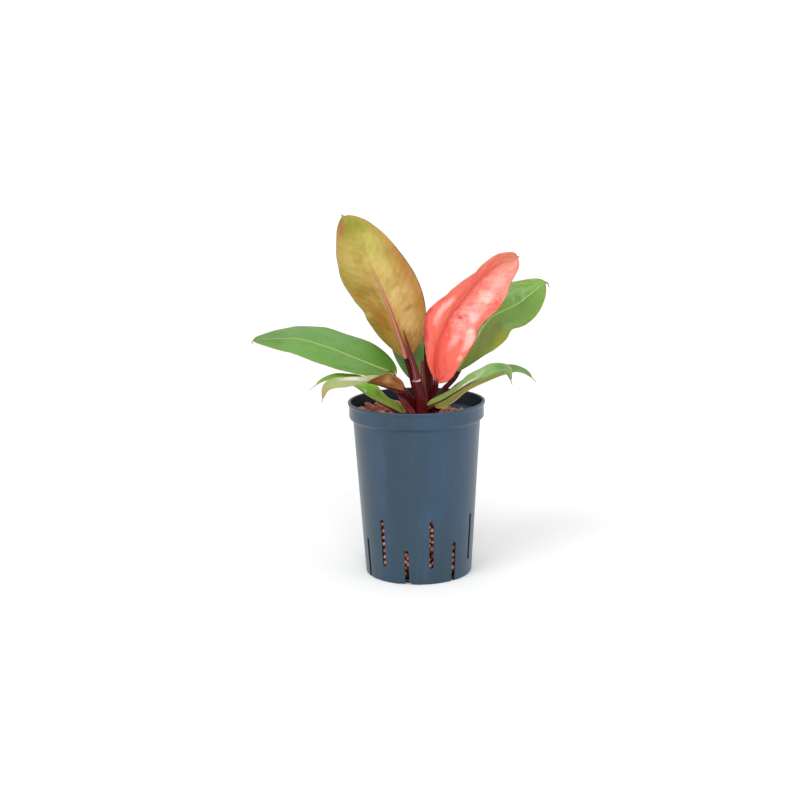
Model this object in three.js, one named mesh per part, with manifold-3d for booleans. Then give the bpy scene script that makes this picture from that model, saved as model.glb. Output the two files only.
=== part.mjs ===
// A philodendron with nine leaves in a slotted 15 cm culture pot filled with clay pebbles.
// Millimetres, +Z up. The origin is the middle of the pot's underside, and -Y is the front.
import * as THREE from "three";
import { mergeVertices } from "three/addons/utils/BufferGeometryUtils.js";
import Module from "manifold-3d";

const wasm = await Module();
wasm.setup();

// Gap between pieces that touch
const CLEARANCE = 0.35;

// Pot
const POT_HEIGHT = 192;
const FOOT_RADIUS = 59.5;
const FOOT_ROUND = 5;
const BODY_TOP_RADIUS = 69.6;
const COLLAR_BOTTOM = 171;
const COLLAR_CHAMFER = 4;
const COLLAR_RADIUS = 73.7;
const LIP_RADIUS = 75;
const LIP_HEIGHT = 3.5;
const LIP_BEVEL = 0.7;
const WALL = 1.8;
const FLOOR = 4.2;
const POT_SEGMENTS = 48;
const SLOT_COUNT = 14;
const SLOT_WIDTH = 4.2;
const FIRST_SLOT_ANGLE = -13.2;
const LOW_SLOT = { bottom: -2, top: 37 };
const HIGH_SLOT = { bottom: 19, top: 70.5 };
const CHANNEL_WIDTH = 18.4;
const CHANNEL_DEPTH = 2.6;
const CHANNEL_START = 24;
const CHANNEL_SLOPE = 2;
const CHANNEL_SLOTS = [0, 4, 10];

// Clay pebbles
const BED_LEVEL = 175;
const BED_SLOPE = -0.09;
const BED_SEGMENTS = 24;
const BED_CORE_INSET = 4.5;
const TOP_PEBBLES = 60;
const PEBBLE_RADIUS = 6.4;
const PEBBLE_SPREAD = 1.8;
const PEBBLE_LIFT = 2.5;
const SLOT_PEBBLE_STEP = 15;
const SLOT_PEBBLE_MARGIN = 3;
const LEAF_CLEARANCE = 1.5;
const GOLDEN_ANGLE = Math.PI * (3 - Math.sqrt(5));

// Plant
const STEM_X = 9;
const STEM_Y = -6;
const STEM_RADIUS = 11;
const STEM_BOTTOM = 150;
const STEM_TOP = 186;
const STEM_SEGMENTS = 14;
const PETIOLE_ROOT_RADIUS = 4.2;
const PETIOLE_STRAIGHT = 9;
const PETIOLE_SIDES = 6;
const SHOOT_SIDES = 8;
const ROD_STEPS = 6;
const BLADE_THICKNESS = 0.7;
const BROAD_COLUMNS = [-1, -0.7, -0.38, -0.08, 0, 0.08, 0.38, 0.7, 1];
const NARROW_COLUMNS = [-1, -0.55, -0.12, 0, 0.12, 0.55, 1];
const BROAD_FROM = 20;
const TIP_HALF_WIDTH = 0.5;
const BASE_REACH = 0.1;
const DRIP_WIDTH = 0.03;
const LOBE_REACH = 0.3;

const DEGREE = Math.PI / 180;
const COLOURS = {
  pot: [0x3f5263, 0.42],
  clay: [0x9a6250, 0.9],
  petiole: [0x5c1016, 0.4],
  sheath: [0x9c4c4c, 0.55],
  root: [0x8a5f5c, 0.8],
  amber: [0xb89a4c, 0.5],
  salmon: [0xf57264, 0.35],
  green: [0x6f9c48, 0.4],
  bronze: [0x8c7a48, 0.45],
};

// Each leaf: its midrib from the petiole to the tip, the direction its upper face looks in along the
// midrib, the half widths, how far each half folds up and curls (degrees, from base to tip, left half
// first as seen from the base with the upper face up), how far the base lobes reach back, and waves of
// the margin as side, height, number and shift. Its petiole starts at root and passes bend.
const LEAVES = [
  {
    name: "leaf_amber_tall", colour: "amber", rows: 18, petiole: 2.6,
    rib: [[-10, -8, 241], [-28, -14, 297], [-43, -18, 334], [-59, -18, 370], [-76, -12, 396]],
    face: [[0.25, 1, 0.3], [0.17, 1, -0.2], [-0.1, 1, -0.1]],
    width: [46, 46], skew: 0.84, blunt: 0.5, drip: 0.015,
    fold: [[38, 38, 34], [36, 32, 22]], curl: [[5, 5], [5, 5]],
    wave: [[-1, 2, 2.5, 0.1], [1, 3, 2.2, 0.05]],
    root: [5, -10, 178], bend: [-3, -9, 212],
  },
  {
    name: "leaf_salmon", colour: "salmon", rows: 18, petiole: 2.6,
    rib: [[22, -26, 221], [22, -26, 249], [34, -20, 282], [55, -8, 306], [84, 4, 333], [114, 12, 346]],
    face: [[0.38, -0.9, 0], [0.38, -0.9, -0.1], [0.3, -0.9, 0.1]],
    width: [36, 38], skew: 0.84, blunt: 0.44, drip: 0.015, lobe: [4, 6],
    fold: [[60, 72, 52, 45], [33, 33, 33, 25]], curl: [[0, -100, 0, 0], [0, 0]],
    wave: [[1, 2, 2, 0.55]],
    root: [14, -14, 178], bend: [17, -15, 198],
  },
  {
    name: "leaf_green_right", colour: "green", rows: 18, petiole: 2.6,
    rib: [[45, 14, 221], [64, 24, 249], [84, 34, 276], [116, 44, 291], [144, 48, 312], [150, 46, 308]],
    face: [[-0.5, -0.55, 0.7], [0.35, -0.65, 0.65]],
    width: [43, 45], skew: 0.8, blunt: 0.58, drip: 0.05,
    fold: [[10, 6], [24, 20]], curl: [[0, 0], [0, 0]], wave: [[1, 3, 2.5, 0.2]],
    root: [18, 0, 178], bend: [28, 5, 199],
  },
  {
    name: "leaf_green_left", colour: "green", rows: 18, petiole: 2.6,
    rib: [[-33, 16, 223], [-67, 14, 238], [-94, 12, 250], [-126, 12, 260], [-143, 12, 261],
      [-174, 12, 260], [-179, 12, 255]],
    face: [[0.1, -0.4, 1], [0.05, -0.4, 1], [0, -0.25, 1]],
    width: [35, 40], skew: 0.8, blunt: 0.52, drip: 0.03, lobe: [10, 10],
    fold: [[8, 0, -2, 0], [14, 3, -3, -1]], curl: [[-5, -5], [-5, -5]],
    root: [1, 0, 177], bend: [-11, 8, 198],
  },
  {
    name: "leaf_bronze_low_left", colour: "bronze", rows: 16, petiole: 2.4,
    rib: [[-21, -36, 211], [-32, -40, 215], [-46, -44, 220], [-60, -47, 223], [-73, -49, 224],
      [-87, -50, 223], [-97, -50, 217], [-101, -50, 201]],
    face: [[0, 0, 1], [0.1, -0.1, 1], [-0.2, -0.3, 1], [-1, -0.3, 0.6]],
    width: [18, 18], skew: 0.66, blunt: 0.5, drip: 0.05, lobe: [7, 4],
    fold: [[88, 62, 13, -4, -10, -10], [60, 30, 8, 0, 0, 0]], curl: [[0, 0], [0, 0]],
    root: [2, -15, 176], bend: [-5, -24, 195],
  },
  {
    name: "leaf_narrow_left", colour: "green", rows: 16, petiole: 2.2,
    rib: [[-15, -16, 181], [-44, -18, 197], [-64, -16, 211], [-77, -14, 217], [-88, -13, 220],
      [-102, -12, 217], [-116, -12, 208]],
    face: [[0.2, -0.25, 1], [0, -0.25, 1]],
    width: [18, 18], skew: 0.62, blunt: 0.55, drip: 0.08,
    fold: [[31, 31, 15], [34, 28, 5]], curl: [[0, 0], [0, 0]],
    root: [4, -10, 158], bend: [-2, -13, 169],
  },
  {
    name: "leaf_low_right_front", colour: "green", rows: 16, petiole: 2.4,
    rib: [[19, -26, 193], [28, -28, 197], [39, -31, 204], [54, -34, 214], [68, -36, 221], [84, -38, 228],
      [94, -40, 231], [98, -41, 227], [102, -41, 215]],
    face: [[0, -0.32, 1], [0, -0.36, 1], [0.2, -0.4, 1], [1, -0.35, 0.6]],
    width: [17, 17], skew: 0.7, blunt: 0.5, drip: 0.05, lobe: [9, 0],
    fold: [[12, 9, 16], [0, 5, 5]], curl: [[0, 0], [0, 0]],
    root: [8, -14, 174], bend: [9, -19, 182],
  },
  {
    name: "leaf_low_right_back", colour: "green", rows: 16, petiole: 2.4,
    rib: [[30, -4, 190], [53, 2, 205], [79, 6, 217], [103, 8, 223], [119, 8, 220], [132, 6, 209]],
    face: [[0, -0.15, 1], [0, -0.23, 1]],
    width: [17, 15], skew: 0.75, blunt: 0.6, drip: 0.06,
    fold: [[5, 5], [5, 5]], curl: [[0, 0], [0, 0]],
    root: [13, -6, 168], bend: [18, -6, 177],
  },
  {
    name: "leaf_green_back", colour: "green", rows: 16, petiole: 2.4,
    rib: [[-2, 14, 211], [-4, 32, 234], [-10, 54, 261], [-18, 76, 287], [-29, 92, 304]],
    face: [[0.3, -0.8, 0.5], [0.3, -0.8, 0.6]],
    width: [24, 27], skew: 0.8, blunt: 0.62, drip: 0.05,
    fold: [[18, 10], [18, 10]], curl: [[0, 0], [0, 0]],
    root: [7, 0, 178], bend: [2, 5, 191],
  },
];

// Papery sheaths and the rolled new leaf: a path with the radius at each of its points.
const SHOOTS = [
  {
    name: "new_leaf_spear", colour: "petiole", radii: [5.5, 4.6, 3, 0.5],
    path: [[11, -6, 182], [13, -6, 210], [12, -6, 243], [10, -6, 268]],
  },
  {
    name: "sheath_long", colour: "sheath", radii: [3.6, 3.2, 2.4, 0.5],
    path: [[6, -20, 186], [1, -20, 220], [-6, -18, 247], [-13, -16, 272]],
  },
  {
    name: "sheath_front", colour: "sheath", radii: [5, 4.6, 4.2],
    path: [[5, -23, 182], [2, -25, 201], [0, -25, 219]],
  },
  {
    name: "sheath_small", colour: "sheath", radii: [3, 2.5, 1.4],
    path: [[9, -19, 188], [8, -18, 212], [7, -16, 238]],
  },
  {
    name: "sheath_pointed", colour: "sheath", radii: [4, 3.2, 0.5],
    path: [[-5, -23, 182], [-14, -29, 196], [-22, -33, 208]],
  },
];
const ROOT_TIP = { path: [[-52, -20, 177], [-53, -22, 186], [-51, -24, 195]], radii: [1.3, 1.2, 0.9] };

function material(key) {
  const [color, roughness] = COLOURS[key];
  return new THREE.MeshStandardMaterial({ color, roughness, metalness: 0 });
}

// A number between 0 and 1 that is always the same for the same pair.
function scatter(index, channel) {
  const value = Math.sin(index * 127.1 + channel * 311.7) * 43758.5453;
  return value - Math.floor(value);
}

function solidOf(geometry) {
  const bare = geometry.clone();
  bare.deleteAttribute("normal");
  bare.deleteAttribute("uv");
  const merged = mergeVertices(bare, 1e-4);
  const mesh = new wasm.Mesh({
    numProp: 3,
    vertProperties: new Float32Array(merged.attributes.position.array),
    triVerts: new Uint32Array(merged.index.array),
  });
  return new wasm.Manifold(mesh);
}

function geometryOf(solid) {
  const mesh = solid.getMesh();
  const geometry = new THREE.BufferGeometry();
  geometry.setAttribute("position", new THREE.BufferAttribute(new Float32Array(mesh.vertProperties), 3));
  geometry.setIndex(new THREE.BufferAttribute(new Uint32Array(mesh.triVerts), 1));
  geometry.computeVertexNormals();
  return geometry;
}

function largestBody(solid) {
  return solid.decompose().reduce((best, body) => (body.volume() > best.volume() ? body : best));
}

function union(solids) {
  return solids.reduce((sum, next) => sum.add(next));
}

// A closed surface from rows of points. Neighbouring rows are joined all round, and each end is closed
// by a strip across its row. Where split says so, a four-sided face is cut along its other diagonal.
function skin(rows, split = () => false) {
  const ring = rows[0].length;
  const index = [];
  for (let i = 0; i + 1 < rows.length; i += 1) {
    for (let j = 0; j < ring; j += 1) {
      const a = i * ring + j;
      const b = i * ring + ((j + 1) % ring);
      if (split(j)) index.push(a, b, a + ring, b, b + ring, a + ring);
      else index.push(a, b, b + ring, a, b + ring, a + ring);
    }
  }
  for (const [start, turned] of [[0, true], [(rows.length - 1) * ring, false]]) {
    for (let j = 0; j < ring / 2 - 1; j += 1) {
      const [a, b, c, d] = [start + j, start + j + 1, start + ring - 2 - j, start + ring - 1 - j];
      if (turned) index.push(a, c, b, a, d, c);
      else index.push(a, b, c, a, c, d);
    }
  }
  const geometry = new THREE.BufferGeometry();
  const places = rows.flat().flatMap((point) => point.toArray());
  geometry.setAttribute("position", new THREE.Float32BufferAttribute(places, 3));
  geometry.setIndex(index);
  return geometry;
}

function curveThrough(points) {
  return new THREE.CatmullRomCurve3(points.map((p) => new THREE.Vector3(...p)), false, "catmullrom", 0.5);
}

// A value given at even steps from base to tip, read at t.
function along(values, t) {
  const x = t * (values.length - 1);
  const i = Math.min(Math.floor(x), values.length - 2);
  return values[i] + (values[i + 1] - values[i]) * (x - i);
}

// A round rod whose radius changes evenly between the radii given along it. With grow it is that much
// thicker and longer, which makes the space that a neighbour leaves for it.
function rod(points, radii, sides, grow = 0) {
  const curve = curveThrough(points);
  const rows = [];
  let across = new THREE.Vector3(1, 0, 0);
  for (let i = 0; i <= ROD_STEPS; i += 1) {
    const centre = curve.getPointAt(i / ROD_STEPS);
    const ahead = curve.getTangentAt(i / ROD_STEPS);
    across = across.clone().addScaledVector(ahead, -across.dot(ahead)).normalize();
    const up = new THREE.Vector3().crossVectors(ahead, across);
    const radius = along(radii, i / ROD_STEPS) + grow;
    const row = [];
    for (let j = 0; j < sides; j += 1) {
      const angle = (2 * Math.PI * j) / sides;
      row.push(centre.clone().addScaledVector(across, radius * Math.cos(angle))
        .addScaledVector(up, radius * Math.sin(angle)));
    }
    const shifted = (distance) => row.map((p) => p.clone().addScaledVector(ahead, distance));
    if (grow > 0 && i === 0) rows.push(shifted(-grow));
    rows.push(row);
    if (grow > 0 && i === ROD_STEPS) rows.push(shifted(grow));
  }
  return solidOf(skin(rows));
}

// The half width of a leaf along it: a skewed, rounded arch that runs out in a narrow drip tip.
function outline(leaf, t) {
  const body = Math.sin(Math.PI * Math.min(t / (1 - leaf.drip), 1) ** leaf.skew) ** leaf.blunt;
  const point = Math.min((1 - t) / leaf.drip, 1) ** 0.7;
  return Math.hypot(body || 0, DRIP_WIDTH * point * THREE.MathUtils.clamp((t - 0.5) / 0.4, 0, 1));
}

function ribFrame(leaf, t) {
  const centre = leaf.curve.getPointAt(t);
  const ahead = leaf.curve.getTangentAt(t);
  const look = new THREE.Vector3(...[0, 1, 2].map((k) => along(leaf.faces.map((f) => f[k]), t)));
  const up = look.addScaledVector(ahead, -look.dot(ahead)).normalize();
  const right = new THREE.Vector3().crossVectors(ahead, up);
  return { centre, ahead, up, right };
}

// A point of the upper face: t runs from base to tip, s from the left edge (-1) to the right edge (1).
// Each half leaves the midrib at its fold angle and bends on along an arc by its curl angle.
function facePoint(leaf, frame, t, s, leastHalf) {
  const side = s < 0 ? 0 : 1;
  const reach = Math.abs(s);
  const half = Math.max(leaf.width[side] * outline(leaf, t), leastHalf);
  const fold = along(leaf.fold[side], t) * DEGREE;
  const bent = along(leaf.curl[side], t) * DEGREE;
  const curl = Math.abs(bent) < 1e-4 ? 1e-4 : bent;
  const out = (half * (Math.sin(fold + curl * reach) - Math.sin(fold))) / curl;
  let rise = (half * (Math.cos(fold) - Math.cos(fold + curl * reach))) / curl;
  for (const [waved, height, count, shift] of leaf.wave ?? []) {
    const swell = reach ** 2 * Math.sqrt(Math.sin(Math.PI * t));
    if (waved === Math.sign(s)) rise += height * swell * Math.sin(2 * Math.PI * (count * t + shift));
  }
  const back = (leaf.lobe?.[side] ?? 0) * reach * Math.max(1 - t / LOBE_REACH, 0) ** 2;
  return frame.centre.clone().addScaledVector(frame.right, Math.sign(s) * out)
    .addScaledVector(frame.up, rise).addScaledVector(frame.ahead, -back);
}

// How far the midrib stands out below the blade: as thick as the petiole at the base, thin at the tip.
function ribDepth(leaf, t) {
  return 0.9 * (2 * leaf.petiole - BLADE_THICKNESS) * (1 - t) ** 2.5 + 0.25 * (1 - t);
}

// A blade: the upper face, and under it the same net lowered by the thickness and by the raised midrib.
function blade(leaf) {
  const columns = leaf.width[0] > BROAD_FROM ? BROAD_COLUMNS : NARROW_COLUMNS;
  const last = columns.length - 1;
  const steps = Array.from({ length: leaf.rows + 1 }, (_, i) => 0.5 - 0.5 * Math.cos((Math.PI * i) / leaf.rows));
  const upper = steps.map((t) => {
    const frame = ribFrame(leaf, t);
    const least = THREE.MathUtils.lerp(leaf.petiole, TIP_HALF_WIDTH, Math.min(t / BASE_REACH, 1));
    return columns.map((s) => facePoint(leaf, frame, t, s, least));
  });
  const rows = upper.map((row, i) => {
    const before = upper[Math.max(i - 1, 0)];
    const after = upper[Math.min(i + 1, leaf.rows)];
    const lower = row.map((point, j) => {
      const lengthways = after[j].clone().sub(before[j]);
      const crossways = row[Math.min(j + 1, last)].clone().sub(row[Math.max(j - 1, 0)]);
      const down = lengthways.cross(crossways).normalize();
      const keel = columns[j] === 0 ? ribDepth(leaf, steps[i]) : 0;
      return point.clone().addScaledVector(down, BLADE_THICKNESS + keel);
    });
    return [...row, ...lower.reverse()];
  });
  return solidOf(skin(rows, (j) => j > last && j < 2 * last + 1));
}

// A petiole runs from the stem past its bend to the underside of the blade's base.
function petiole(leaf, grow) {
  const { centre, ahead, up } = ribFrame(leaf, 0);
  const end = centre.clone().addScaledVector(up, -leaf.petiole);
  const near = end.clone().addScaledVector(ahead, -PETIOLE_STRAIGHT);
  const radii = [PETIOLE_ROOT_RADIUS, leaf.petiole + 0.9, leaf.petiole + 0.3, leaf.petiole];
  return rod([leaf.root, leaf.bend, near.toArray(), end.toArray()], radii, PETIOLE_SIDES, grow);
}

function crown(grow = 0) {
  const stem = lathe([
    [0, STEM_BOTTOM - grow], [STEM_RADIUS * 0.7 + grow, STEM_BOTTOM - grow],
    [STEM_RADIUS + grow, STEM_BOTTOM + 6], [STEM_RADIUS + grow, STEM_TOP - 10],
    [STEM_RADIUS * 0.5 + grow, STEM_TOP + grow], [0, STEM_TOP + 3 + grow],
  ], STEM_SEGMENTS).translate(STEM_X, STEM_Y, 0);
  return union([solidOf(stem), ...LEAVES.map((leaf) => petiole(leaf, grow))]);
}

function lathe(profile, segments) {
  const points = profile.map(([x, y]) => new THREE.Vector2(x, y));
  return new THREE.LatheGeometry(points, segments).rotateX(Math.PI / 2);
}

// The radius of the pot's inner wall at a height, below the collar.
function innerRadius(z) {
  const slope = (BODY_TOP_RADIUS - FOOT_RADIUS) / (COLLAR_BOTTOM - FOOT_ROUND);
  return FOOT_RADIUS - WALL + slope * (z - FOOT_ROUND);
}

function pot() {
  const inside = COLLAR_RADIUS - WALL;
  const shell = solidOf(lathe([
    [0, 0], [FOOT_RADIUS - FOOT_ROUND, 0], [FOOT_RADIUS - 1.5, 1.5], [FOOT_RADIUS, FOOT_ROUND],
    [BODY_TOP_RADIUS, COLLAR_BOTTOM], [COLLAR_RADIUS, COLLAR_BOTTOM + COLLAR_CHAMFER],
    [COLLAR_RADIUS, POT_HEIGHT - LIP_HEIGHT], [LIP_RADIUS, POT_HEIGHT - LIP_HEIGHT / 2],
    [LIP_RADIUS, POT_HEIGHT - LIP_BEVEL], [LIP_RADIUS - LIP_BEVEL, POT_HEIGHT], [inside, POT_HEIGHT],
    [inside, COLLAR_BOTTOM + COLLAR_CHAMFER + 0.5], [innerRadius(COLLAR_BOTTOM), COLLAR_BOTTOM + 0.5],
    [innerRadius(FLOOR + 1.5), FLOOR + 1.5], [innerRadius(FLOOR) - 2, FLOOR], [0, FLOOR],
  ], POT_SEGMENTS));
  const cuts = [];
  for (let k = 0; k < SLOT_COUNT; k += 1) {
    const turn = (FIRST_SLOT_ANGLE + (k * 360) / SLOT_COUNT) * DEGREE;
    cuts.push(solidOf(slot(k % 2 === 0 ? LOW_SLOT : HIGH_SLOT).rotateZ(turn)));
    if (CHANNEL_SLOTS.includes(k)) cuts.push(solidOf(channel().rotateZ(turn)));
  }
  return shell.subtract(union(cuts));
}

// An upright slot with round ends that is cut through the front of the wall.
function slot({ bottom, top }) {
  const r = SLOT_WIDTH / 2;
  const shape = new THREE.Shape();
  shape.absarc(0, top - r, r, 0, Math.PI, false);
  shape.absarc(0, bottom + r, r, Math.PI, 2 * Math.PI, false);
  shape.closePath();
  const reach = LIP_RADIUS - FOOT_RADIUS + 14;
  return new THREE.ExtrudeGeometry(shape, { depth: reach, bevelEnabled: false, curveSegments: 4 })
    .rotateX(Math.PI / 2).translate(0, -FOOT_RADIUS + 8, 0);
}

// A shallow drain under the floor, from near the middle out through the foot, with sloping sides.
function channel() {
  const half = CHANNEL_WIDTH / 2;
  const shape = new THREE.Shape([
    new THREE.Vector2(-half, -1), new THREE.Vector2(half, -1), new THREE.Vector2(half, 0),
    new THREE.Vector2(half - CHANNEL_SLOPE, CHANNEL_DEPTH),
    new THREE.Vector2(CHANNEL_SLOPE - half, CHANNEL_DEPTH),
    new THREE.Vector2(-half, 0),
  ]);
  return new THREE.ExtrudeGeometry(shape, { depth: FOOT_RADIUS, bevelEnabled: false })
    .rotateX(Math.PI / 2).translate(0, -CHANNEL_START, 0);
}

function pebble(index, centre, size) {
  const geometry = new THREE.IcosahedronGeometry(size, 0);
  geometry.scale(1, 0.86 + 0.12 * scatter(index, 5), 0.78 + 0.1 * scatter(index, 6));
  geometry.rotateX(Math.PI * scatter(index, 7)).rotateY(Math.PI * scatter(index, 8)).rotateZ(index);
  return solidOf(geometry.translate(...centre));
}

// The pebbles on top: an even spiral over the bed, shaken a little, that leaves out those near a leaf.
function topPebbles(keepClear) {
  const found = [];
  for (let k = 0; k < TOP_PEBBLES; k += 1) {
    const size = PEBBLE_RADIUS + PEBBLE_SPREAD * scatter(k, 2);
    const widest = innerRadius(COLLAR_BOTTOM) - size - 2 * CLEARANCE;
    const radius = widest * Math.sqrt((k + 0.5) / TOP_PEBBLES);
    const angle = k * GOLDEN_ANGLE + 0.3 * scatter(k, 1);
    const x = radius * Math.cos(angle);
    const y = radius * Math.sin(angle);
    const centre = [x, y, BED_LEVEL + BED_SLOPE * x + PEBBLE_LIFT * (scatter(k, 3) - 0.6)];
    const place = new THREE.Vector3(...centre);
    const nearest = Math.min(...keepClear.map((p) => p.distanceTo(place)));
    if (nearest > size + LEAF_CLEARANCE) found.push(pebble(k, centre, size));
  }
  return found;
}

// Pebbles that lie against the wall behind each slot.
function slotPebbles() {
  const found = [];
  for (let k = 0; k < SLOT_COUNT; k += 1) {
    const { bottom, top } = k % 2 === 0 ? LOW_SLOT : HIGH_SLOT;
    const angle = (FIRST_SLOT_ANGLE - 90 + (k * 360) / SLOT_COUNT) * DEGREE;
    const lowest = Math.max(bottom + SLOT_PEBBLE_MARGIN, FLOOR + PEBBLE_RADIUS + PEBBLE_SPREAD + CLEARANCE);
    for (let z = lowest; z < top + SLOT_PEBBLE_MARGIN; z += SLOT_PEBBLE_STEP) {
      const index = 1000 + k * 10 + Math.round(z / SLOT_PEBBLE_STEP);
      const size = PEBBLE_RADIUS + PEBBLE_SPREAD * scatter(index, 4);
      const radius = innerRadius(z - size) - size - CLEARANCE;
      const turn = angle + 0.05 * (scatter(index, 2) - 0.5);
      found.push(pebble(index, [radius * Math.cos(turn), radius * Math.sin(turn), z], size));
    }
  }
  return found;
}

// The mass of pebbles: a core a little smaller than the pot's inside, with whole pebbles where they show,
// and plain holes where the stem, the shoots and the root tip stand in it.
function clayBed(holes, keepClear) {
  const low = FLOOR + CLEARANCE;
  const core = lathe([
    [0, low], [innerRadius(low) - BED_CORE_INSET, low],
    [innerRadius(BED_LEVEL) - BED_CORE_INSET, BED_LEVEL], [0, BED_LEVEL],
  ], BED_SEGMENTS);
  const place = core.attributes.position;
  for (let i = 0; i < place.count; i += 1) {
    if (place.getZ(i) > BED_LEVEL / 2) place.setZ(i, place.getZ(i) + BED_SLOPE * place.getX(i));
  }
  const heap = union([solidOf(core), ...topPebbles(keepClear), ...slotPebbles()]);
  return largestBody(heap.subtract(union(holes)));
}

// Points on the low leaves, which the pebbles keep clear of.
function lowLeafPoints() {
  const found = [];
  for (const leaf of LEAVES) {
    for (let t = 0; t <= 1; t += 0.04) {
      const frame = ribFrame(leaf, t);
      for (const s of [-1, -0.5, 0, 0.5, 1]) found.push(facePoint(leaf, frame, t, s, TIP_HALF_WIDTH));
    }
  }
  return found.filter((point) => point.z < POT_HEIGHT + 8);
}

const plant = new THREE.Group();

function addNode(name, solid, colour) {
  const mesh = new THREE.Mesh(geometryOf(solid), material(colour));
  mesh.name = name;
  plant.add(mesh);
}

for (const leaf of LEAVES) {
  leaf.curve = curveThrough(leaf.rib);
  leaf.faces = leaf.face.map((f) => new THREE.Vector3(...f).normalize().toArray());
}

// What stands in the pebbles comes first, because every other piece leaves room for it.
const standing = [crown(CLEARANCE)];
const shoots = SHOOTS.map(({ path, radii }) => {
  const shoot = largestBody(rod(path, radii, SHOOT_SIDES).subtract(union(standing)));
  standing.push(rod(path, radii, SHOOT_SIDES, CLEARANCE));
  return shoot;
});
const occupied = union(standing);
const rootHole = rod(ROOT_TIP.path, ROOT_TIP.radii, PETIOLE_SIDES, CLEARANCE);

addNode("pot", pot(), "pot");
addNode("clay_pebbles", clayBed([occupied, rootHole], lowLeafPoints()), "clay");
addNode("stem_and_petioles", crown(), "petiole");
SHOOTS.forEach(({ name, colour }, i) => addNode(name, shoots[i], colour));
addNode("root_tip", rod(ROOT_TIP.path, ROOT_TIP.radii, PETIOLE_SIDES), "root");
LEAVES.forEach((leaf) => addNode(leaf.name, largestBody(blade(leaf).subtract(occupied)), leaf.colour));

export default plant;
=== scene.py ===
"""A young orange philodendron in a slotted culture pot: the looks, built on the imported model."""

import math

import bpy
import numpy as np
from mathutils import Matrix, Vector


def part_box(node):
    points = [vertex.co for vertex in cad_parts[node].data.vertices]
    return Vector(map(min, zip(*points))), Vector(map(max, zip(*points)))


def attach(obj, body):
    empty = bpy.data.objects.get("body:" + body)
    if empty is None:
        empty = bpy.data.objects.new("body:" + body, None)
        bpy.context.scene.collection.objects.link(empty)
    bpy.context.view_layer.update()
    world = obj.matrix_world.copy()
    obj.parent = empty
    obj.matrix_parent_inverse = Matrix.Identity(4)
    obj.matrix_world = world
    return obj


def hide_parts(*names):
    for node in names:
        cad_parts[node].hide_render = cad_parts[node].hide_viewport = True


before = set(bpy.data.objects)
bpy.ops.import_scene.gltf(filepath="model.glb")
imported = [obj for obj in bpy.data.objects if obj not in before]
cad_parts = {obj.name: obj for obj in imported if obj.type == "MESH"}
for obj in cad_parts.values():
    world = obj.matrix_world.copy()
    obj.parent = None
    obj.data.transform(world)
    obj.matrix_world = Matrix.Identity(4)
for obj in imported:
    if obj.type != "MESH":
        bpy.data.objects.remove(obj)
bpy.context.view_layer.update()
POT_HIGH = np.array(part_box("pot")[1])

bl_info = {
    "name": "Potted orange philodendron",
    "version": (1, 0, 0),
    "blender": (4, 5, 0),
    "location": "3D View > Sidebar > Philodendron",
    "description": "Builds the leaves, petioles, pebbles and slotted pot of a young philodendron",
    "category": "Add Mesh",
}

MM = 0.001

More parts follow.
